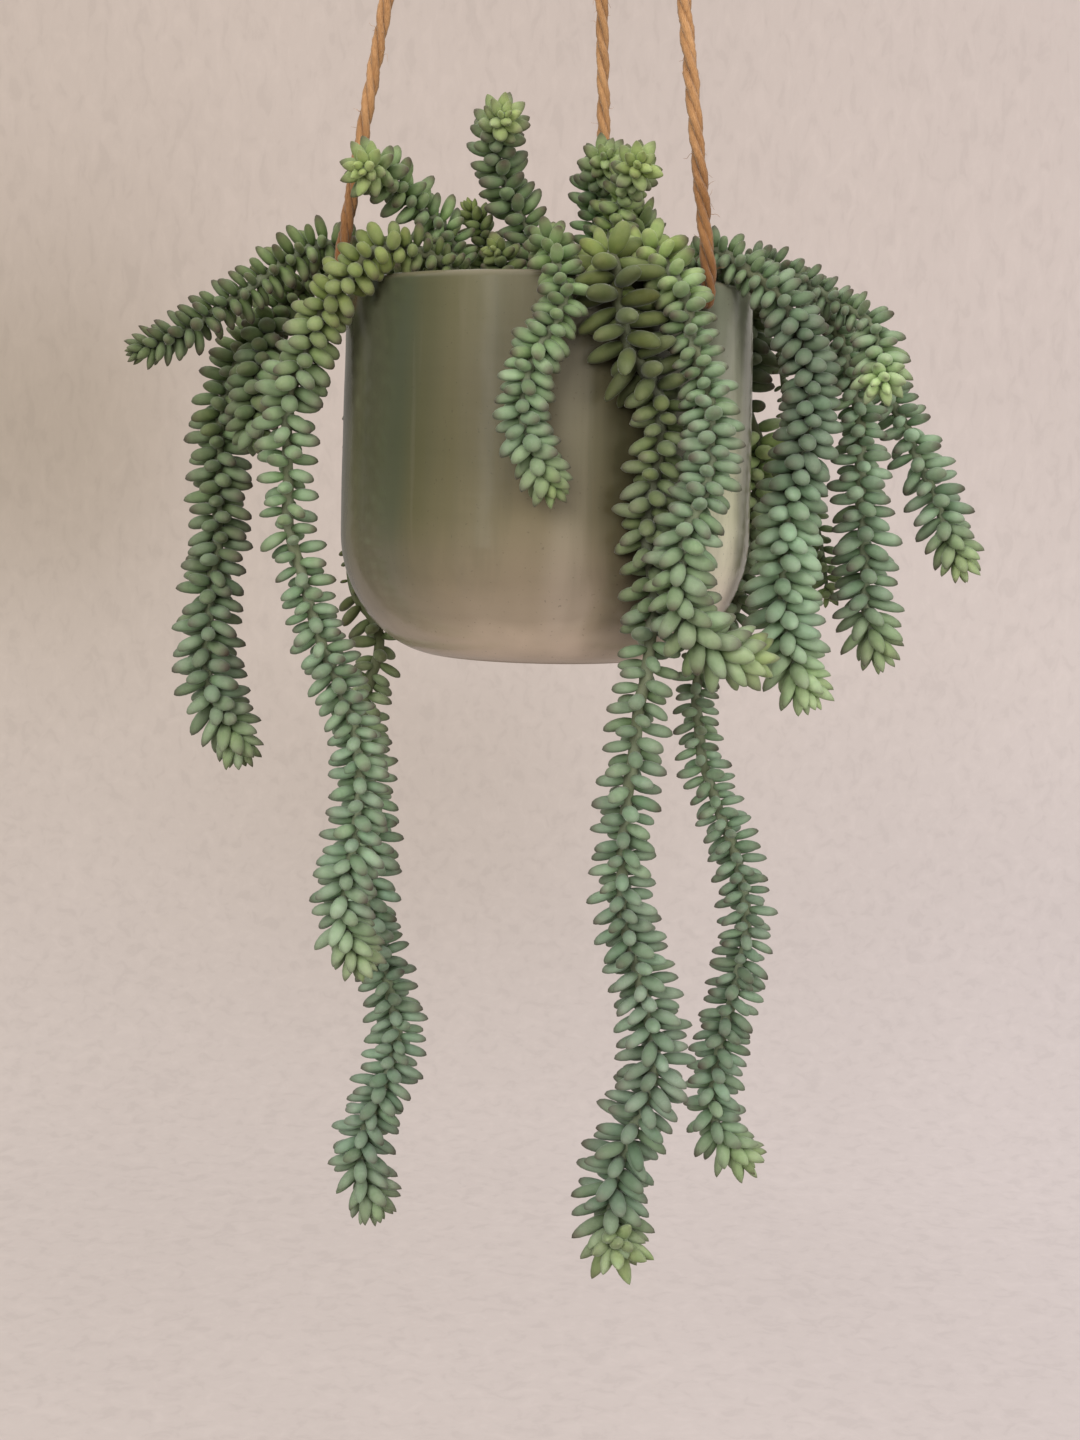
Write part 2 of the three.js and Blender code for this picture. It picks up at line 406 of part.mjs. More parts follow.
    [20.0, 8.0, -398.0, 2.2], [19.7, 7.5, -388.3, 3.1], [19.4, 7.0, -378.6, 4.0], [19.2, 6.3, -368.9, 4.8],
    [19.8, 4.2, -359.6, 5.7], [21.5, 0.2, -350.9, 6.6], [24.0, -3.1, -342.4, 6.0], [31.0, -6.0, -336.4, 2.2],
  ],
  shoot_right_twin: [
    [20.0, 14.0, -398.0, 2.2], [19.3, 15.5, -388.6, 2.4], [18.6, 17.1, -379.1, 2.9], [17.9, 18.6, -369.7, 3.5],
    [17.3, 19.9, -360.2, 4.1], [17.6, 18.9, -350.8, 5.1], [18.6, 17.4, -341.4, 5.3], [21.6, 16.0, -332.4, 2.2],
  ],
  shoot_small_left: [
    [-22.0, 10.0, -398.0, 2.2], [-22.6, 6.8, -389.0, 2.2], [-23.2, 3.6, -380.0, 2.2], [-23.9, 0.3, -371.0, 2.6],
    [-25.6, -2.8, -362.3, 3.1], [-30.3, -6.0, -354.6, 2.2],
  ],
  shoot_small_front: [
    [-16.0, -38.0, -398.0, 2.2], [-16.3, -38.6, -388.2, 2.2], [-16.8, -39.8, -378.6, 2.2], [-20.3, -46.0, -374.7, 2.2],
  ],
  stem_back_1: [
    [33.6, 31.4, -398.0, 2.6], [36.6, 33.8, -389.1, 4.1], [41.8, 37.9, -382.2, 5.3], [48.0, 43.5, -377.2, 6.1],
    [54.6, 49.7, -373.9, 6.8], [60.6, 56.0, -377.0, 7.4], [63.8, 59.4, -385.4, 7.4], [65.3, 61.2, -394.8, 7.4],
    [66.0, 62.4, -404.4, 7.4], [65.7, 62.8, -414.1, 7.4], [65.1, 62.9, -423.8, 7.4], [64.3, 62.7, -433.5, 7.4],
    [63.5, 62.5, -443.1, 7.4], [62.7, 62.3, -452.8, 7.4], [61.9, 62.0, -462.5, 7.4], [61.0, 62.0, -472.2, 7.4],
    [59.8, 62.5, -481.8, 6.9], [58.6, 63.1, -491.4, 6.0], [57.4, 63.8, -501.0, 2.2],
  ],
  stem_back_2: [
    [18.0, 28.8, -398.0, 2.6], [21.8, 35.7, -392.5, 4.1], [25.1, 43.1, -387.2, 5.3], [28.6, 50.4, -381.9, 6.1],
    [32.7, 57.1, -376.3, 7.0], [37.9, 64.6, -374.4, 7.1], [42.3, 70.3, -380.0, 7.1], [44.7, 73.3, -388.9, 7.1],
    [46.3, 74.8, -398.2, 7.1], [46.9, 74.4, -407.8, 7.1], [46.9, 72.9, -417.4, 7.1], [47.3, 72.2, -427.0, 7.1],
    [47.9, 71.7, -436.6, 7.1], [48.6, 71.5, -446.2, 7.1], [49.3, 71.3, -455.8, 6.8], [50.2, 71.2, -465.4, 5.8],
    [51.3, 70.6, -475.0, 2.2],
  ],
  stem_back_3: [
    [1.8, 34.0, -398.0, 2.6], [2.3, 41.6, -392.6, 4.0], [3.0, 49.4, -387.4, 5.3], [3.5, 57.2, -382.3, 6.1],
    [4.0, 64.9, -377.0, 6.8], [4.4, 73.4, -373.4, 7.5], [4.5, 81.8, -376.4, 7.8], [4.4, 86.7, -384.2, 7.8],
    [4.4, 89.2, -393.2, 7.8], [4.2, 90.9, -402.4, 7.8], [3.8, 91.4, -411.7, 7.8], [3.5, 91.4, -421.1, 7.8],
    [3.1, 91.1, -430.4, 7.8], [2.7, 90.7, -439.8, 7.8], [2.2, 90.1, -449.1, 7.8], [1.6, 89.4, -458.4, 7.8],
    [1.0, 88.6, -467.7, 7.8], [0.4, 87.9, -477.0, 7.6], [-0.3, 87.1, -486.4, 7.1], [-0.9, 86.4, -495.7, 6.1],
    [-1.5, 85.8, -505.0, 2.2],
  ],
  stem_back_4: [
    [-5.9, 33.5, -398.0, 2.6], [-7.3, 41.0, -392.5, 4.1], [-8.8, 48.4, -387.1, 5.4], [-10.2, 55.8, -381.5, 6.3],
    [-11.5, 63.2, -375.8, 6.8], [-12.9, 71.7, -373.3, 6.8], [-13.9, 79.4, -377.8, 6.8], [-14.4, 83.4, -386.2, 6.8],
    [-14.7, 86.3, -395.2, 6.8], [-14.5, 88.0, -404.4, 6.8], [-13.8, 88.2, -413.7, 6.8], [-13.0, 87.7, -423.0, 6.8],
    [-12.2, 86.8, -432.3, 6.7], [-11.4, 86.2, -441.7, 5.7], [-10.5, 85.9, -451.0, 2.2],
  ],
  stem_back_5: [
    [-13.8, 31.1, -398.0, 2.6], [-17.0, 38.1, -392.5, 4.1], [-20.3, 45.3, -387.3, 5.3], [-23.5, 52.5, -382.1, 6.1],
    [-26.8, 59.7, -376.8, 6.8], [-30.2, 67.7, -373.2, 7.5], [-33.3, 75.5, -376.5, 7.8], [-34.9, 80.2, -384.4, 7.8],
    [-35.7, 82.6, -393.5, 7.8], [-35.8, 83.6, -402.9, 7.8], [-35.0, 82.9, -412.4, 7.8], [-34.2, 82.3, -421.8, 7.8],
    [-33.5, 81.7, -431.2, 7.8], [-32.9, 81.3, -440.7, 7.8], [-32.3, 81.0, -450.2, 7.8], [-31.7, 80.8, -459.6, 7.8],
    [-31.2, 80.7, -469.1, 7.8], [-30.8, 80.7, -478.6, 7.7], [-30.3, 80.8, -488.0, 7.1], [-30.0, 81.0, -497.5, 6.1],
    [-29.6, 81.3, -507.0, 2.2],
  ],
  stem_back_6: [
    [-21.4, 26.4, -398.0, 2.6], [-26.2, 32.3, -392.6, 4.1], [-31.0, 38.3, -387.3, 5.3], [-35.9, 44.3, -382.1, 6.1],
    [-40.7, 50.3, -376.8, 6.9], [-46.3, 57.0, -373.8, 7.4], [-51.9, 63.0, -376.8, 7.4], [-54.7, 65.7, -385.2, 7.4],
    [-56.7, 67.5, -394.1, 7.4], [-57.9, 68.0, -403.3, 7.4], [-58.0, 66.9, -412.6, 7.4], [-58.4, 66.2, -421.9, 7.4],
    [-59.2, 65.9, -431.2, 7.4], [-59.9, 65.5, -440.5, 7.4], [-60.6, 65.1, -449.8, 7.4], [-61.2, 64.6, -459.1, 7.4],
    [-61.7, 64.0, -468.4, 6.9], [-62.1, 63.2, -477.7, 6.0], [-62.4, 62.4, -487.0, 2.2],
  ],
  shoot_back_left: [
    [-36.0, 30.0, -398.0, 2.2], [-37.5, 30.9, -387.6, 2.2], [-39.0, 31.7, -377.2, 2.5], [-39.5, 32.5, -366.8, 3.2],
    [-36.7, 34.0, -356.8, 2.2],
  ],
  shoot_back_right: [
    [36.0, 42.0, -398.0, 2.2], [35.5, 43.2, -387.6, 2.3], [34.9, 44.2, -377.1, 2.9], [34.3, 45.3, -366.7, 3.5],
    [34.3, 43.9, -356.4, 4.2], [32.0, 42.0, -346.4, 2.2],
  ],
  shoot_side_right: [
    [50.0, 1.0, -398.0, 2.2], [49.5, 3.3, -389.8, 2.2], [49.1, 5.6, -381.6, 2.3], [48.8, 7.5, -373.3, 2.8],
    [51.3, 4.0, -367.1, 2.2],
  ],
};

// A leafy stem: a closed drum bent along the middle line. Its skin goes in and out like the overlapping leaves.
function leafyStem(rows) {
  const rings = rows.length;
  const g = new THREE.CylinderGeometry(1, 1, 1, STEM_SIDES, rings - 1, false);
  const points = rows.map(([x, y, z]) => new THREE.Vector3(x, y, z));
  const tangents = points.map((p, i) =>
    points[Math.min(i + 1, rings - 1)]
      .clone()
      .sub(points[Math.max(i - 1, 0)])
      .normalize(),
  );
  // frames carried along without twist
  const normals = [];
  const start = Math.abs(tangents[0].y) < 0.9 ? new THREE.Vector3(0, 1, 0) : new THREE.Vector3(1, 0, 0);
  let n = start.clone().addScaledVector(tangents[0], -start.dot(tangents[0])).normalize();
  for (const t of tangents) {
    n = n.clone().addScaledVector(t, -n.dot(t)).normalize();
    normals.push(n);
  }
  const pos = g.attributes.position;
  const v = new THREE.Vector3();
  for (let k = 0; k < pos.count; k++) {
    v.fromBufferAttribute(pos, k);
    const i = Math.round((v.y + 0.5) * (rings - 1));
    const rho = Math.hypot(v.x, v.z);
    const t = tangents[i],
      nn = normals[i],
      b = new THREE.Vector3().crossVectors(nn, t);
    const j = Math.round((Math.atan2(v.x, v.z) / (2 * Math.PI)) * STEM_SIDES);
    const lump = (i + Math.abs(j)) % 2 === 0 ? 1 : 0.8;
    const r = rho > 1e-6 ? rows[i][3] * lump : 0;
    const out = points[i]
      .clone()
      .addScaledVector(nn, rho > 1e-6 ? (v.x / rho) * r : 0)
      .addScaledVector(b, rho > 1e-6 ? (v.z / rho) * r : 0);
    // the middle of each end cap stands out a little
    if (rho <= 1e-6) out.addScaledVector(t, i === 0 ? -0.4 : 1.2);
    pos.setXYZ(k, out.x, out.y, out.z);
  }
  return g;
}
const YOUNG = new Set(["stem_left_inner", "shoot_small_left", "shoot_small_front", "stem_right_3"]);
for (const [name, rows] of Object.entries(STEMS))
  add(name, leafyStem(rows), YOUNG.has(name) ? leafYoung : leafGlaucous);

export default plant;
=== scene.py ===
# A burros tail plant in a hanging ceramic pot. Metres, +Z up, the front towards -Y.
# The origin is the point where a hook carries the hanging loop.
import math

import bmesh
import bpy
import numpy as np
from mathutils import Matrix, Vector
from mathutils.kdtree import KDTree


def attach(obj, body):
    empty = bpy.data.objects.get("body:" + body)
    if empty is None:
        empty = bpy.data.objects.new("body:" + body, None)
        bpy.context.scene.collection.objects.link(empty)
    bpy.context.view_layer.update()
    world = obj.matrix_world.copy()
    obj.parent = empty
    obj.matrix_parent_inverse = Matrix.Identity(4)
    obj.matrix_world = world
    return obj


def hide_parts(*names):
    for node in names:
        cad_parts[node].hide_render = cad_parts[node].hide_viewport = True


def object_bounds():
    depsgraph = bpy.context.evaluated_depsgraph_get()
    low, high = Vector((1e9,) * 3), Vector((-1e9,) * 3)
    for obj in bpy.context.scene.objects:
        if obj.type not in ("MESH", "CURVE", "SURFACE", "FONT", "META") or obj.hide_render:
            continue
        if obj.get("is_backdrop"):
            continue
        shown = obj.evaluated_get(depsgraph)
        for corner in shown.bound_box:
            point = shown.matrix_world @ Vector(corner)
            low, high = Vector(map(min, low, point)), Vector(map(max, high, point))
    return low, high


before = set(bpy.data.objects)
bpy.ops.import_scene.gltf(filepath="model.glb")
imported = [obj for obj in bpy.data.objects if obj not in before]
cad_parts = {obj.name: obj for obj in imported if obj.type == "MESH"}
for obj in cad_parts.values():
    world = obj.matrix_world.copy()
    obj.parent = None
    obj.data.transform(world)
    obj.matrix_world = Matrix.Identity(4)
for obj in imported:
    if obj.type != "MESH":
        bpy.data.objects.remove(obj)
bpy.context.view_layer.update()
MM = 0.001
RIM_Z = -383.0  # millimetres, as in the construction
scene = bpy.context.scene

# ------------------------------------------------------------------ camera
pitch, roll = math.radians(6.6), math.radians(1.3)
right = Vector((1, 0, 0))
ahead = Vector((0, math.cos(pitch), -math.sin(pitch)))
above = Vector((0, math.sin(pitch), math.cos(pitch)))
er = math.cos(roll) * right + math.sin(roll) * above
eu = -math.sin(roll) * right + math.cos(roll) * above
cam_data = bpy.data.cameras.new("camera")
cam = bpy.data.objects.new("camera", cam_data)
scene.collection.objects.link(cam)
turn = Matrix((er, eu, -ahead)).transposed().to_4x4()
cam.matrix_world = Matrix.Translation((-0.000277, -0.750, -0.4538)) @ turn
cam_data.sensor_width = 36.0
cam_data.sensor_fit = "AUTO"
cam_data.lens = 50.625
cam_data.clip_start = 0.02
cam_data.clip_end = 60.0
scene.camera = cam


# ------------------------------------------------------------------ mesh helpers
def mesh_object(name, verts, faces, body="root", smooth=True, colours=None, uvs=None):
    """verts (n,3) in millimetres; faces: list of int arrays (m,3) or (m,4). colours: {name: (n,4)}, uvs: {name: per-corner (k,2)}."""
    verts = np.asarray(verts, float) * MM
    faces = [np.asarray(f, int) for f in faces if len(f)]
    me = bpy.data.meshes.new(name)
    me.vertices.add(len(verts))
    me.vertices.foreach_set("co", verts.astype(np.float32).ravel())
    loops = np.concatenate([f.ravel() for f in faces])
    totals = np.concatenate([np.full(len(f), f.shape[1]) for f in faces])
    starts = np.r_[0, np.cumsum(totals)[:-1]]
    me.loops.add(len(loops))
    me.loops.foreach_set("vertex_index", loops.astype(np.int32))
    me.polygons.add(len(totals))
    me.polygons.foreach_set("loop_start", starts.astype(np.int32))
    me.polygons.foreach_set("use_smooth", np.full(len(totals), bool(smooth)))
    for key, values in (colours or {}).items():
        a = me.color_attributes.new(key, "FLOAT_COLOR", "POINT")
        a.data.foreach_set("color", np.asarray(values, np.float32).ravel())
    for key, values in (uvs or {}).items():
        layer = me.uv_layers.new(name=key)
        layer.data.foreach_set("uv", np.asarray(values, np.float32).ravel())
    me.update(calc_edges=True)
    me.validate(clean_customdata=False)
    ob = bpy.data.objects.new(name, me)
    scene.collection.objects.link(ob)
    if body:
        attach(ob, body)
    return ob


def catmull(points, per=12):
    """A centripetal-free Catmull-Rom curve through the points."""
    p = np.asarray(points, float)
    p = np.vstack([2 * p[0] - p[1], p, 2 * p[-1] - p[-2]])
    out = []
    for i in range(1, len(p) - 2):
        t = np.linspace(0, 1, per, endpoint=False)[:, None]
        a, b, c, d = p[i - 1], p[i], p[i + 1], p[i + 2]
        out.append(0.5 * (2 * b + (c - a) * t + (2 * a - 5 * b + 4 * c - d) * t**2 + (3 * b - a - 3 * c + d) * t**3))
    return np.vstack([*out, p[-2][None]])


def even(points, step):
    p = np.asarray(points, float)
    s = np.r_[0, np.cumsum(np.linalg.norm(np.diff(p, axis=0), axis=1))]
    n = max(3, int(round(s[-1] / step)) + 1)
    q = np.linspace(0, s[-1], n)
    return np.stack([np.interp(q, s, p[:, k]) for k in range(3)], 1), s[-1]


def unit(v):
    v = np.asarray(v, float)
    return v / np.maximum(np.linalg.norm(v, axis=-1, keepdims=True), 1e-12)


def carried_frames(p, start=None):
    """Tangent and two normals at each point, carried along without twist."""
    t = unit(np.gradient(p, axis=0))
    n0 = np.array(start if start is not None else ((0, 1, 0) if abs(t[0][1]) < 0.9 else (1, 0, 0)), float)
    n = np.zeros_like(t)
    for i in range(len(t)):
        n0 = n0 - t[i] * (n0 @ t[i])
        n0 = n0 / np.linalg.norm(n0)
        n[i] = n0
    return t, n, np.cross(t, n)


def grid_faces(rings, sides, offset=0):
    """Quads of a closed tube of rings x sides vertices, facing out for a section that runs anticlockwise about the tangent."""
    i, j = np.meshgrid(np.arange(rings - 1), np.arange(sides), indexing="ij")
    a = i * sides + j
    b = i * sides + (j + 1) % sides
    return (np.stack([a, b, b + sides, a + sides], -1).reshape(-1, 4)) + offset


# ------------------------------------------------------------------ material helpers
class Nodes:
    def __init__(self, material):
        material.use_nodes = True
        self.tree = material.node_tree
        self.tree.nodes.clear()
        self.out = self.tree.nodes.new("ShaderNodeOutputMaterial" if isinstance(material, bpy.types.Material) else "ShaderNodeOutputWorld")

    def add(self, kind, **settings):
        n = self.tree.nodes.new(kind)
        for k, v in settings.items():
            setattr(n, k, v)
        return n

    def link(self, a, b):
        self.tree.links.new(a, b)

    def noise(self, vector, scale, detail=3.0, rough=0.55, distortion=0.0):
        n = self.add("ShaderNodeTexNoise")
        n.inputs["Scale"].default_value = scale
        n.inputs["Detail"].default_value = detail
        n.inputs["Roughness"].default_value = rough
        n.inputs["Distortion"].default_value = distortion
        self.link(vector, n.inputs["Vector"])
        return n.outputs["Fac"]

    def ramp(self, fac, stops, mode="LINEAR"):
        n = self.add("ShaderNodeValToRGB")
        r = n.color_ramp
        r.interpolation = mode
        while len(r.elements) > 1:
            r.elements.remove(r.elements[-1])
        for i, (at, colour) in enumerate(stops):
            e = r.elements[0] if i == 0 else r.elements.new(at)
            e.position = at
            e.color = (*colour, 1.0) if len(colour) == 3 else colour
        self.link(fac, n.inputs["Fac"])
        return n.outputs["Color"]

    def curve(self, value, stops, mode="LINEAR"):
        """A float from stops of (position, value)."""
        return self.ramp(value, [(a, (b, b, b)) for a, b in stops], mode)

    def mix(self, fac, a, b, blend="MIX"):
        n = self.add("ShaderNodeMix", data_type="RGBA", blend_type=blend)
        for socket, value in (("Factor_Float", fac), ("A_Color", a), ("B_Color", b)):
            target = next(s for s in n.inputs if s.identifier == socket)
            if isinstance(value, bpy.types.NodeSocket):
                self.link(value, target)
            elif isinstance(value, (int, float)):
                target.default_value = value
            else:
                target.default_value = (*value, 1.0)
        return next(s for s in n.outputs if s.identifier == "Result_Color")

    def math(self, op, a, b=None, c=None):
        n = self.add("ShaderNodeMath", operation=op)
        for socket, value in zip(n.inputs, (a, b, c)):
            if value is None:
                continue
            if isinstance(value, bpy.types.NodeSocket):
                self.link(value, socket)
            else:
                socket.default_value = value
        return n.outputs[0]

    def scaled(self, vector, scale):
        n = self.add("ShaderNodeMapping")
        n.inputs["Scale"].default_value = scale
        self.link(vector, n.inputs["Vector"])
        return n.outputs["Vector"]

    def bump(self, height, strength, distance, normal=None):
        n = self.add("ShaderNodeBump")
        n.inputs["Strength"].default_value = strength
        n.inputs["Distance"].default_value = distance
        self.link(height, n.inputs["Height"])
        if normal is not None:
            self.link(normal, n.inputs["Normal"])
        return n.outputs["Normal"]

    def surface(self, colour, roughness, normal=None, **fixed):
        n = self.add("ShaderNodeBsdfPrincipled")
        self.link(colour, n.inputs["Base Color"])
        if isinstance(roughness, bpy.types.NodeSocket):
            self.link(roughness, n.inputs["Roughness"])
        else:
            n.inputs["Roughness"].default_value = roughness
        if normal is not None:
            self.link(normal, n.inputs["Normal"])
        for key, value in fixed.items():
            n.inputs[key.replace("_", " ")].default_value = value
        self.link(n.outputs["BSDF"], self.out.inputs["Surface"])
        return n


def make_material(name):
    m = bpy.data.materials.new(name)
    return m, Nodes(m)


# ------------------------------------------------------------------ jute
def jute_material(name, deep, mid, light):
    m, n = make_material(name)
    uv = n.add("ShaderNodeUVMap", uv_map="ply").outputs["UV"]  # x round the ply in turns, y along it in millimetres
    where = n.add("ShaderNodeTexCoord").outputs["Object"]
    tone = n.add("ShaderNodeAttribute", attribute_name="tone").outputs["Color"]
    split = n.add("ShaderNodeSeparateColor")
    n.link(tone, split.inputs["Color"])
    crease_shade, lot = split.outputs[0], split.outputs[1]
    fibre = n.noise(n.scaled(uv, (26.0, 0.42, 1.0)), 1.0, 4.0, 0.62, 0.35)
    fine = n.noise(n.scaled(uv, (70.0, 0.9, 1.0)), 1.0, 2.0, 0.6, 0.2)
    patch = n.noise(where, 90.0, 2.0, 0.5)
    body = n.ramp(fibre, [(0.28, deep), (0.5, mid), (0.74, light)])
    body = n.mix(n.curve(fine, [(0.35, 0.0), (0.75, 0.55)]), body, light)
    body = n.mix(n.curve(patch, [(0.4, 0.0), (0.7, 0.4)]), body, tuple(c * 0.72 for c in mid))
    # painted shade: the creases between the plies are darkened
    body = n.mix(n.math("MULTIPLY", crease_shade, 0.60), body, tuple(c * 0.50 for c in deep))
    body = n.mix(n.math("MULTIPLY", lot, 0.35), body, tuple(min(1, c * 1.25) for c in light))
    # darker near the rim of the pot
    parts = n.add("ShaderNodeSeparateXYZ")
    n.link(where, parts.inputs[0])
    low = n.curve(n.math("MULTIPLY_ADD", parts.outputs[2], 1 / 0.1, 4.0), [(0.0, 1.0), (0.25, 0.85), (0.85, 0.0)], "EASE")
    body = n.mix(n.math("MULTIPLY", low, 0.92), body, n.mix(1.0, body, (0.46, 0.37, 0.27), "MULTIPLY"))
    height = n.math("ADD", n.math("MULTIPLY", fibre, 0.7), n.math("MULTIPLY", fine, 0.3))
    normal = n.bump(height, 0.7, 0.0006)
    n.surface(body, n.curve(fibre, [(0.2, 0.95), (0.8, 0.78)]), normal, Specular_IOR_Level=0.25, Sheen_Weight=0.25, Sheen_Roughness=0.5)
    return m


JUTE = jute_material("jute", (0.165, 0.066, 0.022), (0.37, 0.172, 0.064), (0.60, 0.345, 0.165))


def rope_arrays(path, diameter, rng, plies=3, pitch=31.0, sides=10, phase=0.0, turn_sign=-1.0, taper_ends=True, step=1.1):
    """Laid rope: plies wound round the path, each a closed lumpy tube. Returns verts, quads, tris, ply uv, tone."""
    p, length = even(path, step)
    t, n, b = carried_frames(p)
    s = np.linspace(0, length, len(p))
    off, rad = diameter * 0.235, diameter * 0.283
    V, Q, F3, UVq, UVt, TONE = [], [], [], [], [], []
    base = 0
    for k in range(plies):
        wobble = np.interp(s, np.linspace(0, length, max(4, int(length / 14))), rng.uniform(-0.35, 0.35, max(4, int(length / 14))))
        ang = phase + turn_sign * 2 * math.pi * s / pitch + 2 * math.pi * k / plies + wobble
        loose = 1 + np.interp(s, np.linspace(0, length, max(4, int(length / 9))), rng.uniform(-0.10, 0.12, max(4, int(length / 9))))
        c = p + off * loose[:, None] * (np.cos(ang)[:, None] * n + np.sin(ang)[:, None] * b)
        ct, cn, cb = carried_frames(c)
        out = unit(c - p)
        thick = rad * (1 + np.interp(s, np.linspace(0, length, max(4, int(length / 5))), rng.uniform(-0.09, 0.09, max(4, int(length / 5)))))
        ends = np.clip(np.minimum(s, length - s) / 1.2, 0, 1) ** 0.5 if taper_ends else np.ones(len(s))
        ring = []
        for j in range(sides):
            f = 2 * math.pi * j / sides
            ridge = 1 + 0.065 * np.sin(4 * (f + turn_sign * -2 * math.pi * s / 15.0) + k + 1.3 * math.sin(k)) + rng.normal(0, 0.040, len(s))
            r = thick * ridge * (0.25 + 0.75 * ends)
            ring.append(c + r[:, None] * (math.cos(f) * cn + math.sin(f) * cb))
        ring = np.stack(ring, 1)
        radial = ring - c[:, None]
        # how far each point faces into the crease between plies, used for painted shade there
        crease_shade = 0.5 - 0.5 * np.einsum("ijk,ik->ij", unit(radial), out)
        tone = np.zeros((len(p), sides, 4))
        tone[..., 0] = np.clip((crease_shade - 0.25) * 1.7, 0, 1)
        tone[..., 1] = np.interp(s, np.linspace(0, length, max(4, int(length / 7))), rng.uniform(0, 1, max(4, int(length / 7))))[:, None]
        tone[..., 3] = 1
        V += [ring.reshape(-1, 3), p[:1] * 0 + c[:1] - ct[:1] * 0.3, c[-1:] + ct[-1:] * 0.3]
        TONE += [tone.reshape(-1, 4), tone[0, :1], tone[-1, :1]]
        q = grid_faces(len(p), sides, base)
        Q.append(q)
        i, j = np.meshgrid(np.arange(len(p) - 1), np.arange(sides), indexing="ij")
        u0, u1 = j / sides + k * 1.37, (j + 1) / sides + k * 1.37
        v0, v1 = s[i], s[i + 1]
        UVq.append(np.stack([np.stack([u0, v0], -1), np.stack([u1, v0], -1), np.stack([u1, v1], -1), np.stack([u0, v1], -1)], -2).reshape(-1, 2))
        first, last = base + len(p) * sides, base + len(p) * sides + 1
        j = np.arange(sides)
        top = base + (len(p) - 1) * sides
        caps = np.vstack([np.stack([np.full(sides, first), base + (j + 1) % sides, base + j], 1), np.stack([np.full(sides, last), top + j, top + (j + 1) % sides], 1)])
        F3.append(caps)
        UVt.append(np.tile([[0.5, 0.0]], (len(caps) * 3, 1)))
        base += len(p) * sides + 2
    return np.vstack(V), np.vstack(Q), np.vstack(F3), np.vstack(UVq + UVt), np.vstack(TONE)


def hair_arrays(path, diameter, rng, count, low=3.0, high=11.0):
    """Stray fibres standing off the rope: thin closed three-sided tubes."""
    p, length = even(path, 2.0)
    t, n, b = carried_frames(p)
    V, Q, F3 = [], [], []
    base = 0
    for _ in range(count):
        i = rng.integers(1, len(p) - 1)
        a = rng.uniform(0, 2 * math.pi)
        out = math.cos(a) * n[i] + math.sin(a) * b[i]
        along = t[i] * rng.choice([-1, 1])
        root = p[i] + out * diameter * 0.36
        size = rng.uniform(low, high) * (1.0 if rng.random() > 0.12 else 1.8)
        lean = rng.uniform(0.2, 0.9)
        bend = unit(rng.normal(0, 1, 3))
        u = np.linspace(0, 1, 6)[:, None]
        c = root + size * (u * (out * (1 - 0.55 * lean) + along * lean) + 0.35 * u**2 * bend + 0.12 * np.sin(u * rng.uniform(3, 8)) * along)
        ct, cn, cb = carried_frames(c)
        r = rng.uniform(0.07, 0.13) * (1 - 0.6 * u[:, 0])
        ring = np.stack([c + r[:, None] * (math.cos(f) * cn + math.sin(f) * cb) for f in (0, 2.094, 4.189)], 1).reshape(-1, 3)
        V.append(ring)
        Q.append(grid_faces(6, 3, base))
        F3.append([[base + 2, base + 1, base], [base + 15, base + 16, base + 17]])
        base += 18
    V = np.vstack(V)
    tone = np.zeros((len(V), 4))
    tone[:, 1] = rng.uniform(0.3, 1.0, len(V))
    tone[:, 3] = 1
    Q, F3 = np.vstack(Q), np.vstack(F3)
    return V, Q, F3, np.zeros((len(Q) * 4 + len(F3) * 3, 2)), tone


def joined(parts):
    V, Q, F3, UQ, UT, T = [], [], [], [], [], []
    base = 0
    for v, q, f, uv, tone in parts:
        V.append(v)
        Q.append(q + base)
        F3.append(f + base)
        UQ.append(uv[: len(q) * 4])
        UT.append(uv[len(q) * 4 :])
        T.append(tone)
        base += len(v)
    return np.vstack(V), np.vstack(Q), np.vstack(F3), np.vstack(UQ + UT), np.vstack(T)


def jute_object(name, parts):
    v, q, f, uv, tone = joined(parts)
    ob = mesh_object(name, v, [q, f], colours={"tone": tone}, uvs={"ply": uv})
    ob.data.materials.append(JUTE)
    return ob


# the ropes' route, as in the construction: radius from the pot's axis and height above the rim
ROPE_D = 5.0
ROPE_AZ = {"left": -77.0, "right": 43.0, "back": 163.0}
LEAN, BEND, HOLE_DROP = 0.168, 97.0, 11.5
KNOT_BOTTOM, KNOT_TOP, GAP, KNOT_IN = -63.0, -38.0, 0.3, 3.4


def rope_profile():
    p = [(75.6, -HOLE_DROP + 1.9), (77.2, -7.6), (77.95, -4.4), (78.0, -1.0), (77.6, 2.5)]
    r0 = 77.6 - LEAN * (BEND - 2.5)
    span = (KNOT_BOTTOM - RIM_Z) - GAP - 1 - BEND
    c = (r0 - LEAN * span - KNOT_IN) / (span * span)
    p += [(77.6 - LEAN * (z - 2.5), z) for z in (20, 40, 60, 80, 97)]
    p += [(r0 - LEAN * s - c * s * s, BEND + s) for s in (span * i / 10 for i in range(1, 11))]
    return p


def polar(az, r, z):
    a = math.radians(az)
    return np.array([r * math.sin(a), -r * math.cos(a), z])


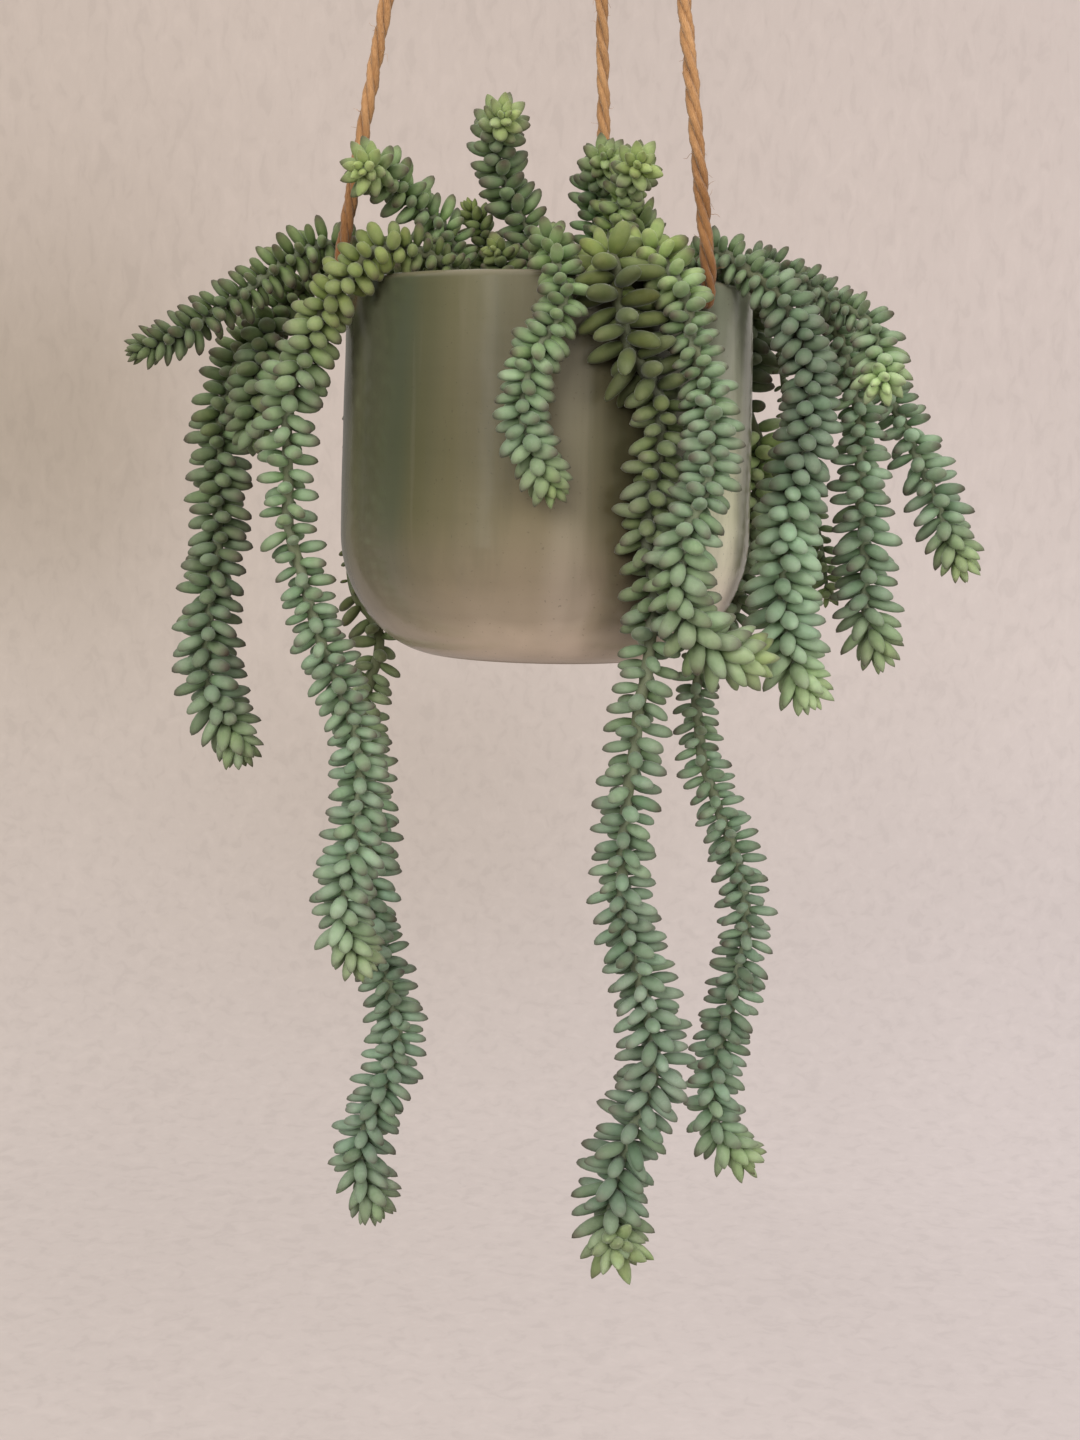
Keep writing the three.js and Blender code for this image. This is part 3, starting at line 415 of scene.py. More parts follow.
rope_paths = {side: catmull([polar(az, r, z + RIM_Z) for r, z in rope_profile()], 10) for side, az in ROPE_AZ.items()}
ropes, stoppers, hairs = {}, {}, {}
for number, (side, az) in enumerate(ROPE_AZ.items()):
    rng = np.random.default_rng(100 + number)
    path = rope_paths[side]
    ropes[side] = jute_object("rope_" + side + "_laid", [rope_arrays(path, ROPE_D, rng, phase=number * 1.1)])
    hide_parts("rope_" + side)
    hairs[side] = jute_object("rope_" + side + "_fibres", [hair_arrays(path, ROPE_D, rng, 80, 1.5, 5.5)])
    # the stopper: the rope's end comes through the wall, turns round itself and sticks out a little
    mouth = polar(az, 73.3, RIM_Z - HOLE_DROP + 0.4)
    inner = polar(az, 66.5, RIM_Z - HOLE_DROP - 1.2)
    middle = polar(az, 61.8, RIM_Z - HOLE_DROP - 3.4)
    ax = unit(middle - mouth)
    up = unit(np.array([0, 0, 1.0]) - ax * ax[2])
    side_way = np.cross(ax, up)
    coil = [middle + ax * (-2.6 + 1.5 * q / 8) + 3.0 * (math.cos(q * 0.785) * up + math.sin(q * 0.785) * side_way) for q in range(0, 13)]
    tail = [coil[-1] + ax * 2.4 + up * 1.5, coil[-1] + ax * 4.4 + up * 4.4]
    knot_path = catmull([mouth, inner, *coil, *tail], 8)
    frayed = hair_arrays(catmull([tail[0], tail[1]], 6), 4.0, rng, 26, 3.0, 6.5)
    stoppers[side] = jute_object("knot_" + side + "_tied", [rope_arrays(knot_path, 4.1, rng, pitch=18.0, step=0.9), frayed])
    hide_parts("knot_" + side)

rng = np.random.default_rng(210)
# binding round the three ropes under the loop
core = np.array([[0, 0, KNOT_BOTTOM + 0.6], [0, 0, (KNOT_BOTTOM + KNOT_TOP) / 2], [0, 0, KNOT_TOP - 0.6]])
turns = 4.35
winding = []
for q in range(int(turns * 14) + 1):
    a = 2 * math.pi * q / 14
    f = q / (turns * 14)
    winding.append([6.35 * math.cos(a), 6.35 * math.sin(a), KNOT_BOTTOM + 3.0 + (KNOT_TOP - KNOT_BOTTOM - 6.0) * f])
stubs = []  # the ropes run on into the binding, and the loop's two ends come out of it
for side in ROPE_AZ:
    end = rope_paths[side][-1]
    way = unit(end - rope_paths[side][-4])
    stubs.append([end - way * 2.0, end, end + way * 1.6, [end[0] * 0.84, end[1] * 0.84, KNOT_BOTTOM + 4.5]])
for x in (-1, 1):
    stubs.append([[4.4 * x, 0, KNOT_TOP + 3.0], [4.2 * x, 0, KNOT_TOP + 0.8], [3.9 * x, 0, KNOT_TOP - 1.5], [3.0 * x, 0, KNOT_TOP - 5.0]])
start_in = [[5.2, -3.2, KNOT_BOTTOM + 2.3], [3.0, -5.0, KNOT_BOTTOM + 0.4]]
gathering = jute_object(
    "gathering_knot_bound",
    [
        rope_arrays(catmull(core, 10), 9.2, rng, plies=3, pitch=60.0, sides=12, step=1.6),
        rope_arrays(catmull([start_in[1], start_in[0], *winding], 4), 4.9, rng, pitch=17.0),
        hair_arrays(catmull(winding, 3), 5.0, rng, 90, 2.0, 7.0),
        *[rope_arrays(catmull(s, 5), ROPE_D * 1.02, rng, pitch=26.0, taper_ends=False) for s in stubs],
    ],
)
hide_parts("gathering_knot")
half = [(4.2, KNOT_TOP + 0.6), (4.5, KNOT_TOP + 4), (8.2, KNOT_TOP + 11), (11.8, KNOT_TOP + 19), (13.5, KNOT_TOP + 27), (12.2, -4.6), (7.4, 0.6)]
loop_path = catmull([[-x, 0, z] for x, z in half] + [[0, 0, ROPE_D / 2]] + [[x, 0, z] for x, z in reversed(half)], 8)
loop = jute_object("hanging_loop_laid", [rope_arrays(loop_path, ROPE_D, rng, pitch=22.0), hair_arrays(loop_path, ROPE_D, rng, 45)])
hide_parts("hanging_loop")

for side in ROPE_AZ:
    path = rope_paths[side]
    length = float(np.linalg.norm(np.diff(path, axis=0), axis=1).sum()) * MM

# ------------------------------------------------------------------ pot
POT_R, RIM_R, POT_H, FOOT_R, FOOT_ROUND, WALL, FLOOR, LIP, HOLE_R = 75.0, 73.4, 133.2, 37.0, 45.2, 4.8, 6.0, 2.4, 5.0


def smooth_profile(points, step):
    p = np.array(points, float)
    s = np.r_[0, np.cumsum(np.linalg.norm(np.diff(p, axis=0), axis=1))]
    q = np.linspace(0, s[-1], max(2, int(round(s[-1] / step)) + 1))
    return np.stack([np.interp(q, s, p[:, k]) for k in range(2)], 1)


def pot_outline():
    """(radius, height from the rim) from under the foot, round the outside, over the lip and down the inside."""
    foot = [(0.001, -POT_H + 1.4), (FOOT_R - 9, -POT_H + 1.4), (FOOT_R - 6.6, -POT_H + 0.5), (FOOT_R - 5.2, -POT_H), (FOOT_R - 1.0, -POT_H)]
    curve = [(FOOT_R + (POT_R - FOOT_R) * math.sin(a), -POT_H + FOOT_ROUND * (1 - math.cos(a))) for a in np.linspace(0.02, math.pi / 2, 30)]
    # the wall swells slightly, then leans in towards the rim
    wall = [(POT_R - (POT_R - RIM_R) * ((z + 88.0) / 85.6) ** 1.6, z) for z in np.linspace(-86, -2.4, 44)]
    lip = [(RIM_R - LIP + LIP * math.cos(a), -LIP + LIP * math.sin(a)) for a in np.linspace(0.12, math.pi - 0.12, 13)]
    inside_wall = [(POT_R - WALL - (POT_R - RIM_R) * ((z + 88.0) / 85.6) ** 1.6, z) for z in np.linspace(-2.6, -86, 26)]
    inside_curve = [(FOOT_R - 4 + (POT_R - WALL - FOOT_R + 4) * math.sin(a), -POT_H + FLOOR + (FOOT_ROUND - FLOOR) * (1 - math.cos(a))) for a in np.linspace(math.pi / 2 - 0.05, 0, 10)]
    return foot + curve + wall + lip + inside_wall + inside_curve + [(0.001, -POT_H + FLOOR)]


outline = np.array(pot_outline())
AZ = 240
theta = 2 * math.pi * np.arange(AZ) / AZ


def smooth_noise(rng, count, smooth):
    """A closed, smooth, repeatable random wave of length count."""
    k = np.arange(1, smooth + 1)
    amp, ph = rng.normal(0, 1, smooth) / k**0.4, rng.uniform(0, 2 * math.pi, smooth)
    x = 2 * math.pi * np.arange(count) / count
    w = (amp[:, None] * np.cos(k[:, None] * x + ph[:, None])).sum(0)
    return w / np.abs(w).max()


rng = np.random.default_rng(31)
waves = [smooth_noise(rng, AZ, 5) for _ in range(7)]
V = []
for r, z in outline:
    f = np.zeros(AZ)
    outside = r > 40
    if outside:
        fade = min(1.0, (z + POT_H) / 25.0)
        for i, w in enumerate(waves):
            f += 0.10 * fade * w * math.sin(z * (0.045 + 0.031 * i) + i * 1.9)
        f += 0.05 * fade * math.sin(z * 1.15) * (0.6 + 0.4 * waves[0])
    rr = r + f * (1 if r > 60 else r / 60)
    V.append(np.stack([rr * np.sin(theta), -rr * np.cos(theta), np.full(AZ, z + RIM_Z)], 1))
V = np.vstack(V)
rings = len(outline)
Q = grid_faces(rings, AZ)
first, last = 0, (rings - 1) * AZ
V = np.vstack([V, [[0, 0, outline[0][1] + RIM_Z]], [[0, 0, outline[-1][1] + RIM_Z]]])
j = np.arange(AZ)
caps = np.vstack([np.stack([np.full(AZ, rings * AZ), (j + 1) % AZ, j], 1), np.stack([np.full(AZ, rings * AZ + 1), last + j, last + (j + 1) % AZ], 1)])
pot = mesh_object("pot_glazed", V, [Q, caps])
cutters = []
for az in ROPE_AZ.values():
    bm = bmesh.new()
    bmesh.ops.create_cone(bm, cap_ends=True, segments=32, radius1=HOLE_R * MM, radius2=HOLE_R * MM, depth=0.020)
    me = bpy.data.meshes.new("cutter")
    bm.to_mesh(me)
    bm.free()
    cut = bpy.data.objects.new("cutter", me)
    scene.collection.objects.link(cut)
    way = Vector(polar(az, 1, 0))
    cut.matrix_world = Matrix.Translation(Vector(polar(az, RIM_R - WALL / 2, RIM_Z - HOLE_DROP)) * MM) @ way.to_track_quat("Z", "Y").to_matrix().to_4x4()
    m = pot.modifiers.new("hole", "BOOLEAN")
    m.operation, m.solver, m.object = "DIFFERENCE", "EXACT", cut
    cutters.append(cut)
bpy.context.view_layer.update()
cut_mesh = bpy.data.meshes.new_from_object(pot.evaluated_get(bpy.context.evaluated_depsgraph_get()))
pot.modifiers.clear()
old = pot.data
pot.data = cut_mesh
bpy.data.meshes.remove(old)
for c in cutters:
    me = c.data
    bpy.data.objects.remove(c)
    bpy.data.meshes.remove(me)
pot.data.name = "pot_glazed"
pot.data.shade_smooth()
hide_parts("pot")

m, n = make_material("glaze")
where = n.add("ShaderNodeTexCoord").outputs["Object"]
parts = n.add("ShaderNodeSeparateXYZ")
n.link(where, parts.inputs[0])
x, y, z = parts.outputs
height = n.math("MULTIPLY_ADD", z, 1 / 0.1332, (0.383 + 0.1332) / 0.1332)  # 0 at the foot, 1 at the rim
# streaks that ran down the wall: noise squeezed along Z
run = n.noise(n.scaled(where, (1.0, 1.0, 0.09)), 55.0, 4.0, 0.6, 0.5)
broad = n.noise(n.scaled(where, (1.0, 1.0, 0.35)), 15.0, 3.0, 0.5, 0.8)
fine = n.noise(n.scaled(where, (1.0, 1.0, 0.25)), 260.0, 3.0, 0.6)
speck = n.noise(where, 900.0, 1.0, 0.5)
# olive glaze above; paler and pinker towards the foot, which is painted reflection and bounce light from the floor,
# over 1 at the very foot
level = n.ramp(n.math("ADD", height, n.math("MULTIPLY_ADD", broad, 0.18, -0.09)), [(0.0, (1.428, 1.131, 0.901)), (0.05, (1.122, 0.884, 0.689)), (0.13, (0.595, 0.473, 0.35)), (0.23, (0.408, 0.328, 0.228)), (0.39, (0.292, 0.25, 0.153)), (0.54, (0.243, 0.216, 0.128)), (0.75, (0.245, 0.221, 0.139)), (0.95, (0.241, 0.223, 0.136))])
# broad bands round the wall, partly the glaze's own grey-green and olive and partly painted light: a painted reflection
# in the bright band on the right, over 1 there, and painted shade on the left side and in the dark band with wavy edges
turn = n.math("MULTIPLY_ADD", n.math("ARCTAN2", x, n.math("MULTIPLY", y, -1.0)), 1 / (2 * math.pi), 0.5)
turn = n.math("ADD", turn, n.math("MULTIPLY_ADD", broad, 0.05, -0.025))
turn = n.math("ADD", turn, n.math("MULTIPLY_ADD", run, 0.016, -0.008))
glaze_bands_and_light = n.ramp(turn, [(0.5 + a / 360.0, c) for a, c in [(-180, (0.529, 0.541, 0.541)), (-120, (0.441, 0.482, 0.5)), (-84, (0.471, 0.518, 0.506)), (-67, (0.6, 0.647, 0.624)), (-58, (0.424, 0.471, 0.471)), (-47, (0.312, 0.379, 0.359)), (-37, (0.388, 0.412, 0.347)), (-26, (0.518, 0.518, 0.459)), (-20, (0.6, 0.594, 0.571)), (-3, (0.618, 0.6, 0.588)), (5, (0.8, 0.8, 0.894)), (9, (0.688, 0.688, 0.753)), (13, (0.459, 0.447, 0.424)), (17, (0.329, 0.324, 0.282)), (22, (0.271, 0.271, 0.235)), (31, (0.2, 0.212, 0.182)), (44, (0.471, 0.529, 0.588)), (52, (1.382, 1.576, 1.912)), (60, (1.853, 2.059, 2.529)), (84, (1.824, 2.0, 2.412)), (104, (0.882, 1.0, 1.118)), (125, (0.588, 0.618, 0.618)), (179, (0.529, 0.541, 0.541))]], "EASE")
glaze_bands_and_light = n.mix(n.curve(height, [(0.0, 1.0), (0.06, 0.88), (0.13, 0.62), (0.26, 0.25), (0.40, 0.0)], "EASE"), glaze_bands_and_light, (0.588, 0.588, 0.588))
body = n.mix(1.0, level, glaze_bands_and_light, "MULTIPLY")
# painted light and shade on the right-hand band: a painted reflection lightens it up to 1.7 times low down, and painted
# shade darkens it towards the rim
clear = n.curve(turn, [(0.5 + a / 360.0, c) for a, c in [(38, 0.0), (50, 1.0), (68, 1.0), (88, 0.0)]], "EASE")
thin = n.curve(height, [(0.0, 1.60), (0.30, 1.70), (0.42, 1.60), (0.52, 1.38), (0.64, 1.22), (0.76, 1.03), (0.86, 0.82), (0.94, 0.72)], "EASE")
body = n.mix(1.0, body, n.mix(clear, (1.0, 1.0, 1.0), thin), "MULTIPLY")
high = n.curve(height, [(0.10, 0.15), (0.34, 1.0)], "EASE")
body = n.mix(n.math("MULTIPLY", n.curve(run, [(0.48, 0.0), (0.66, 0.28)]), high), body, (0.075, 0.078, 0.050))
body = n.mix(n.math("MULTIPLY", n.curve(run, [(0.30, 0.22), (0.42, 0.0)]), high), body, (0.230, 0.200, 0.145))
body = n.mix(n.curve(speck, [(0.70, 0.0), (0.78, 0.35)]), body, (0.06, 0.05, 0.035))
body = n.mix(n.curve(height, [(0.984, 0.0), (0.996, 0.55)]), body, (0.245, 0.205, 0.140))  # thin on the lip
bare = n.curve(height, [(0.002, 1.0), (0.010, 0.0)])  # unglazed foot ring
body = n.mix(bare, body, (0.38, 0.27, 0.19))
rough = n.math("ADD", n.curve(fine, [(0.3, 0.16), (0.7, 0.24)]), n.math("MULTIPLY", bare, 0.6))
wave = n.noise(n.scaled(where, (1.0, 1.0, 2.2)), 42.0, 2.0, 0.5)
normal = n.bump(n.math("ADD", n.math("MULTIPLY", wave, 0.8), n.math("MULTIPLY", fine, 0.05)), 0.35, 0.0012)
n.surface(body, rough, normal, Specular_IOR_Level=0.50, Coat_Weight=0.25, Coat_Roughness=0.08)
pot.data.materials.clear()
pot.data.materials.append(m)

# ------------------------------------------------------------------ potting mix
SOIL_DROP = 17.8
rng = np.random.default_rng(55)
rings_r = np.r_[np.linspace(1.5, 66.6, 38)]
sides = 120
az = 2 * math.pi * np.arange(sides) / sides
lumps = rng.uniform(-1, 1, (70, 3)) * [66, 66, 1]
sizes = rng.uniform(2.5, 8, 70)
V = []
for r in rings_r:
    px, py = r * np.sin(az), -r * np.cos(az)
    zz = np.full(sides, -SOIL_DROP - 0.5)
    for (lx, ly, lz), ls in zip(lumps, sizes):
        zz += 0.9 * lz * np.exp(-((px - lx) ** 2 + (py - ly) ** 2) / (2 * ls**2))
    zz += rng.normal(0, 0.28, sides)
    V.append(np.stack([px, py, zz + RIM_Z], 1))
wall_r = [(67.4, -24.0), (68.6, -60.0), (69.4, -86.0), (60.0, -108.0), (40.0, -124.0)]
for r, z in wall_r:
    V.append(np.stack([r * np.sin(az), -r * np.cos(az), np.full(sides, z + RIM_Z)], 1))
nr = len(V)
V = np.vstack([*V, [[0, 0, RIM_Z - SOIL_DROP - 0.3]], [[0, 0, RIM_Z - 126.5]]])
Q = grid_faces(nr, sides)[:, ::-1]
j = np.arange(sides)
top, bottom = nr * sides, nr * sides + 1
caps = np.vstack([np.stack([np.full(sides, top), j, (j + 1) % sides], 1), np.stack([np.full(sides, bottom), (nr - 1) * sides + (j + 1) % sides, (nr - 1) * sides + j], 1)])
tone = np.zeros((len(V), 4))
tone[:, 0] = 0.0
tone[:, 3] = 1
soil_parts = [(V, Q, caps, tone)]
gold = (1 + 5**0.5) / 2
ico = unit(np.array([(-1, gold, 0), (1, gold, 0), (-1, -gold, 0), (1, -gold, 0), (0, -1, gold), (0, 1, gold), (0, -1, -gold), (0, 1, -gold), (gold, 0, -1), (gold, 0, 1), (-gold, 0, -1), (-gold, 0, 1)], float))
ico_faces = np.array([(0, 11, 5), (0, 5, 1), (0, 1, 7), (0, 7, 10), (0, 10, 11), (1, 5, 9), (5, 11, 4), (11, 10, 2), (10, 7, 6), (7, 1, 8), (3, 9, 4), (3, 4, 2), (3, 2, 6), (3, 6, 8), (3, 8, 9), (4, 9, 5), (2, 4, 11), (6, 2, 10), (8, 6, 7), (9, 8, 1)])
for g in range(620):
    r, a = 65.5 * math.sqrt(rng.uniform(0, 1)), rng.uniform(0, 2 * math.pi)
    kind = rng.random()
    size = rng.uniform(0.9, 2.3) if kind < 0.75 else rng.uniform(1.2, 2.6)
    shape = ico * size * rng.uniform(0.55, 1.25, 3) * rng.uniform(0.82, 1.15, (12, 1))
    q = rng.uniform(0, 2 * math.pi)
    spin = np.array([[math.cos(q), -math.sin(q), 0], [math.sin(q), math.cos(q), 0], [0, 0, 1]])
    px, py = r * math.sin(a), -r * math.cos(a)
    zz = -SOIL_DROP - 0.3 + size * 0.25
    for (lx, ly, lz), ls in zip(lumps, sizes):
        zz += 0.9 * lz * math.exp(-((px - lx) ** 2 + (py - ly) ** 2) / (2 * ls**2))
    v = shape @ spin.T + [px, py, zz + RIM_Z]
    tn = np.zeros((12, 4))
    tn[:, 0] = 1.0 if kind > 0.86 else 0.45 * kind
    tn[:, 1] = rng.random()
    tn[:, 3] = 1
    soil_parts.append((v, np.zeros((0, 4), int), ico_faces, tn))
base, VV, QQ, FF, TT = 0, [], [], [], []
for v, q, f, tn in soil_parts:
    VV.append(v)
    QQ.append(q + base)
    FF.append(f + base)
    TT.append(tn)
    base += len(v)
soil = mesh_object("potting_mix", np.vstack(VV), [np.vstack(QQ), np.vstack(FF)], colours={"tone": np.vstack(TT)})
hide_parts("soil")
m, n = make_material("potting_mix")
where = n.add("ShaderNodeTexCoord").outputs["Object"]
split = n.add("ShaderNodeSeparateColor")
n.link(n.add("ShaderNodeAttribute", attribute_name="tone").outputs["Color"], split.inputs["Color"])
grit = n.noise(where, 900.0, 4.0, 0.65)
damp = n.noise(where, 60.0, 2.0, 0.5)
body = n.ramp(grit, [(0.3, (0.012, 0.008, 0.005)), (0.5, (0.050, 0.032, 0.018)), (0.7, (0.12, 0.080, 0.048))])
body = n.mix(n.curve(damp, [(0.35, 0.0), (0.7, 0.5)]), body, (0.085, 0.060, 0.040))
body = n.mix(n.curve(split.outputs[0], [(0.0, 0.0), (0.4, 0.35), (0.6, 0.45), (0.95, 1.0)]), body, n.ramp(grit, [(0.3, (0.30, 0.26, 0.20)), (0.7, (0.62, 0.58, 0.50))]))
n.surface(body, 0.93, n.bump(grit, 0.8, 0.0012), Specular_IOR_Level=0.2)
soil.data.materials.append(m)

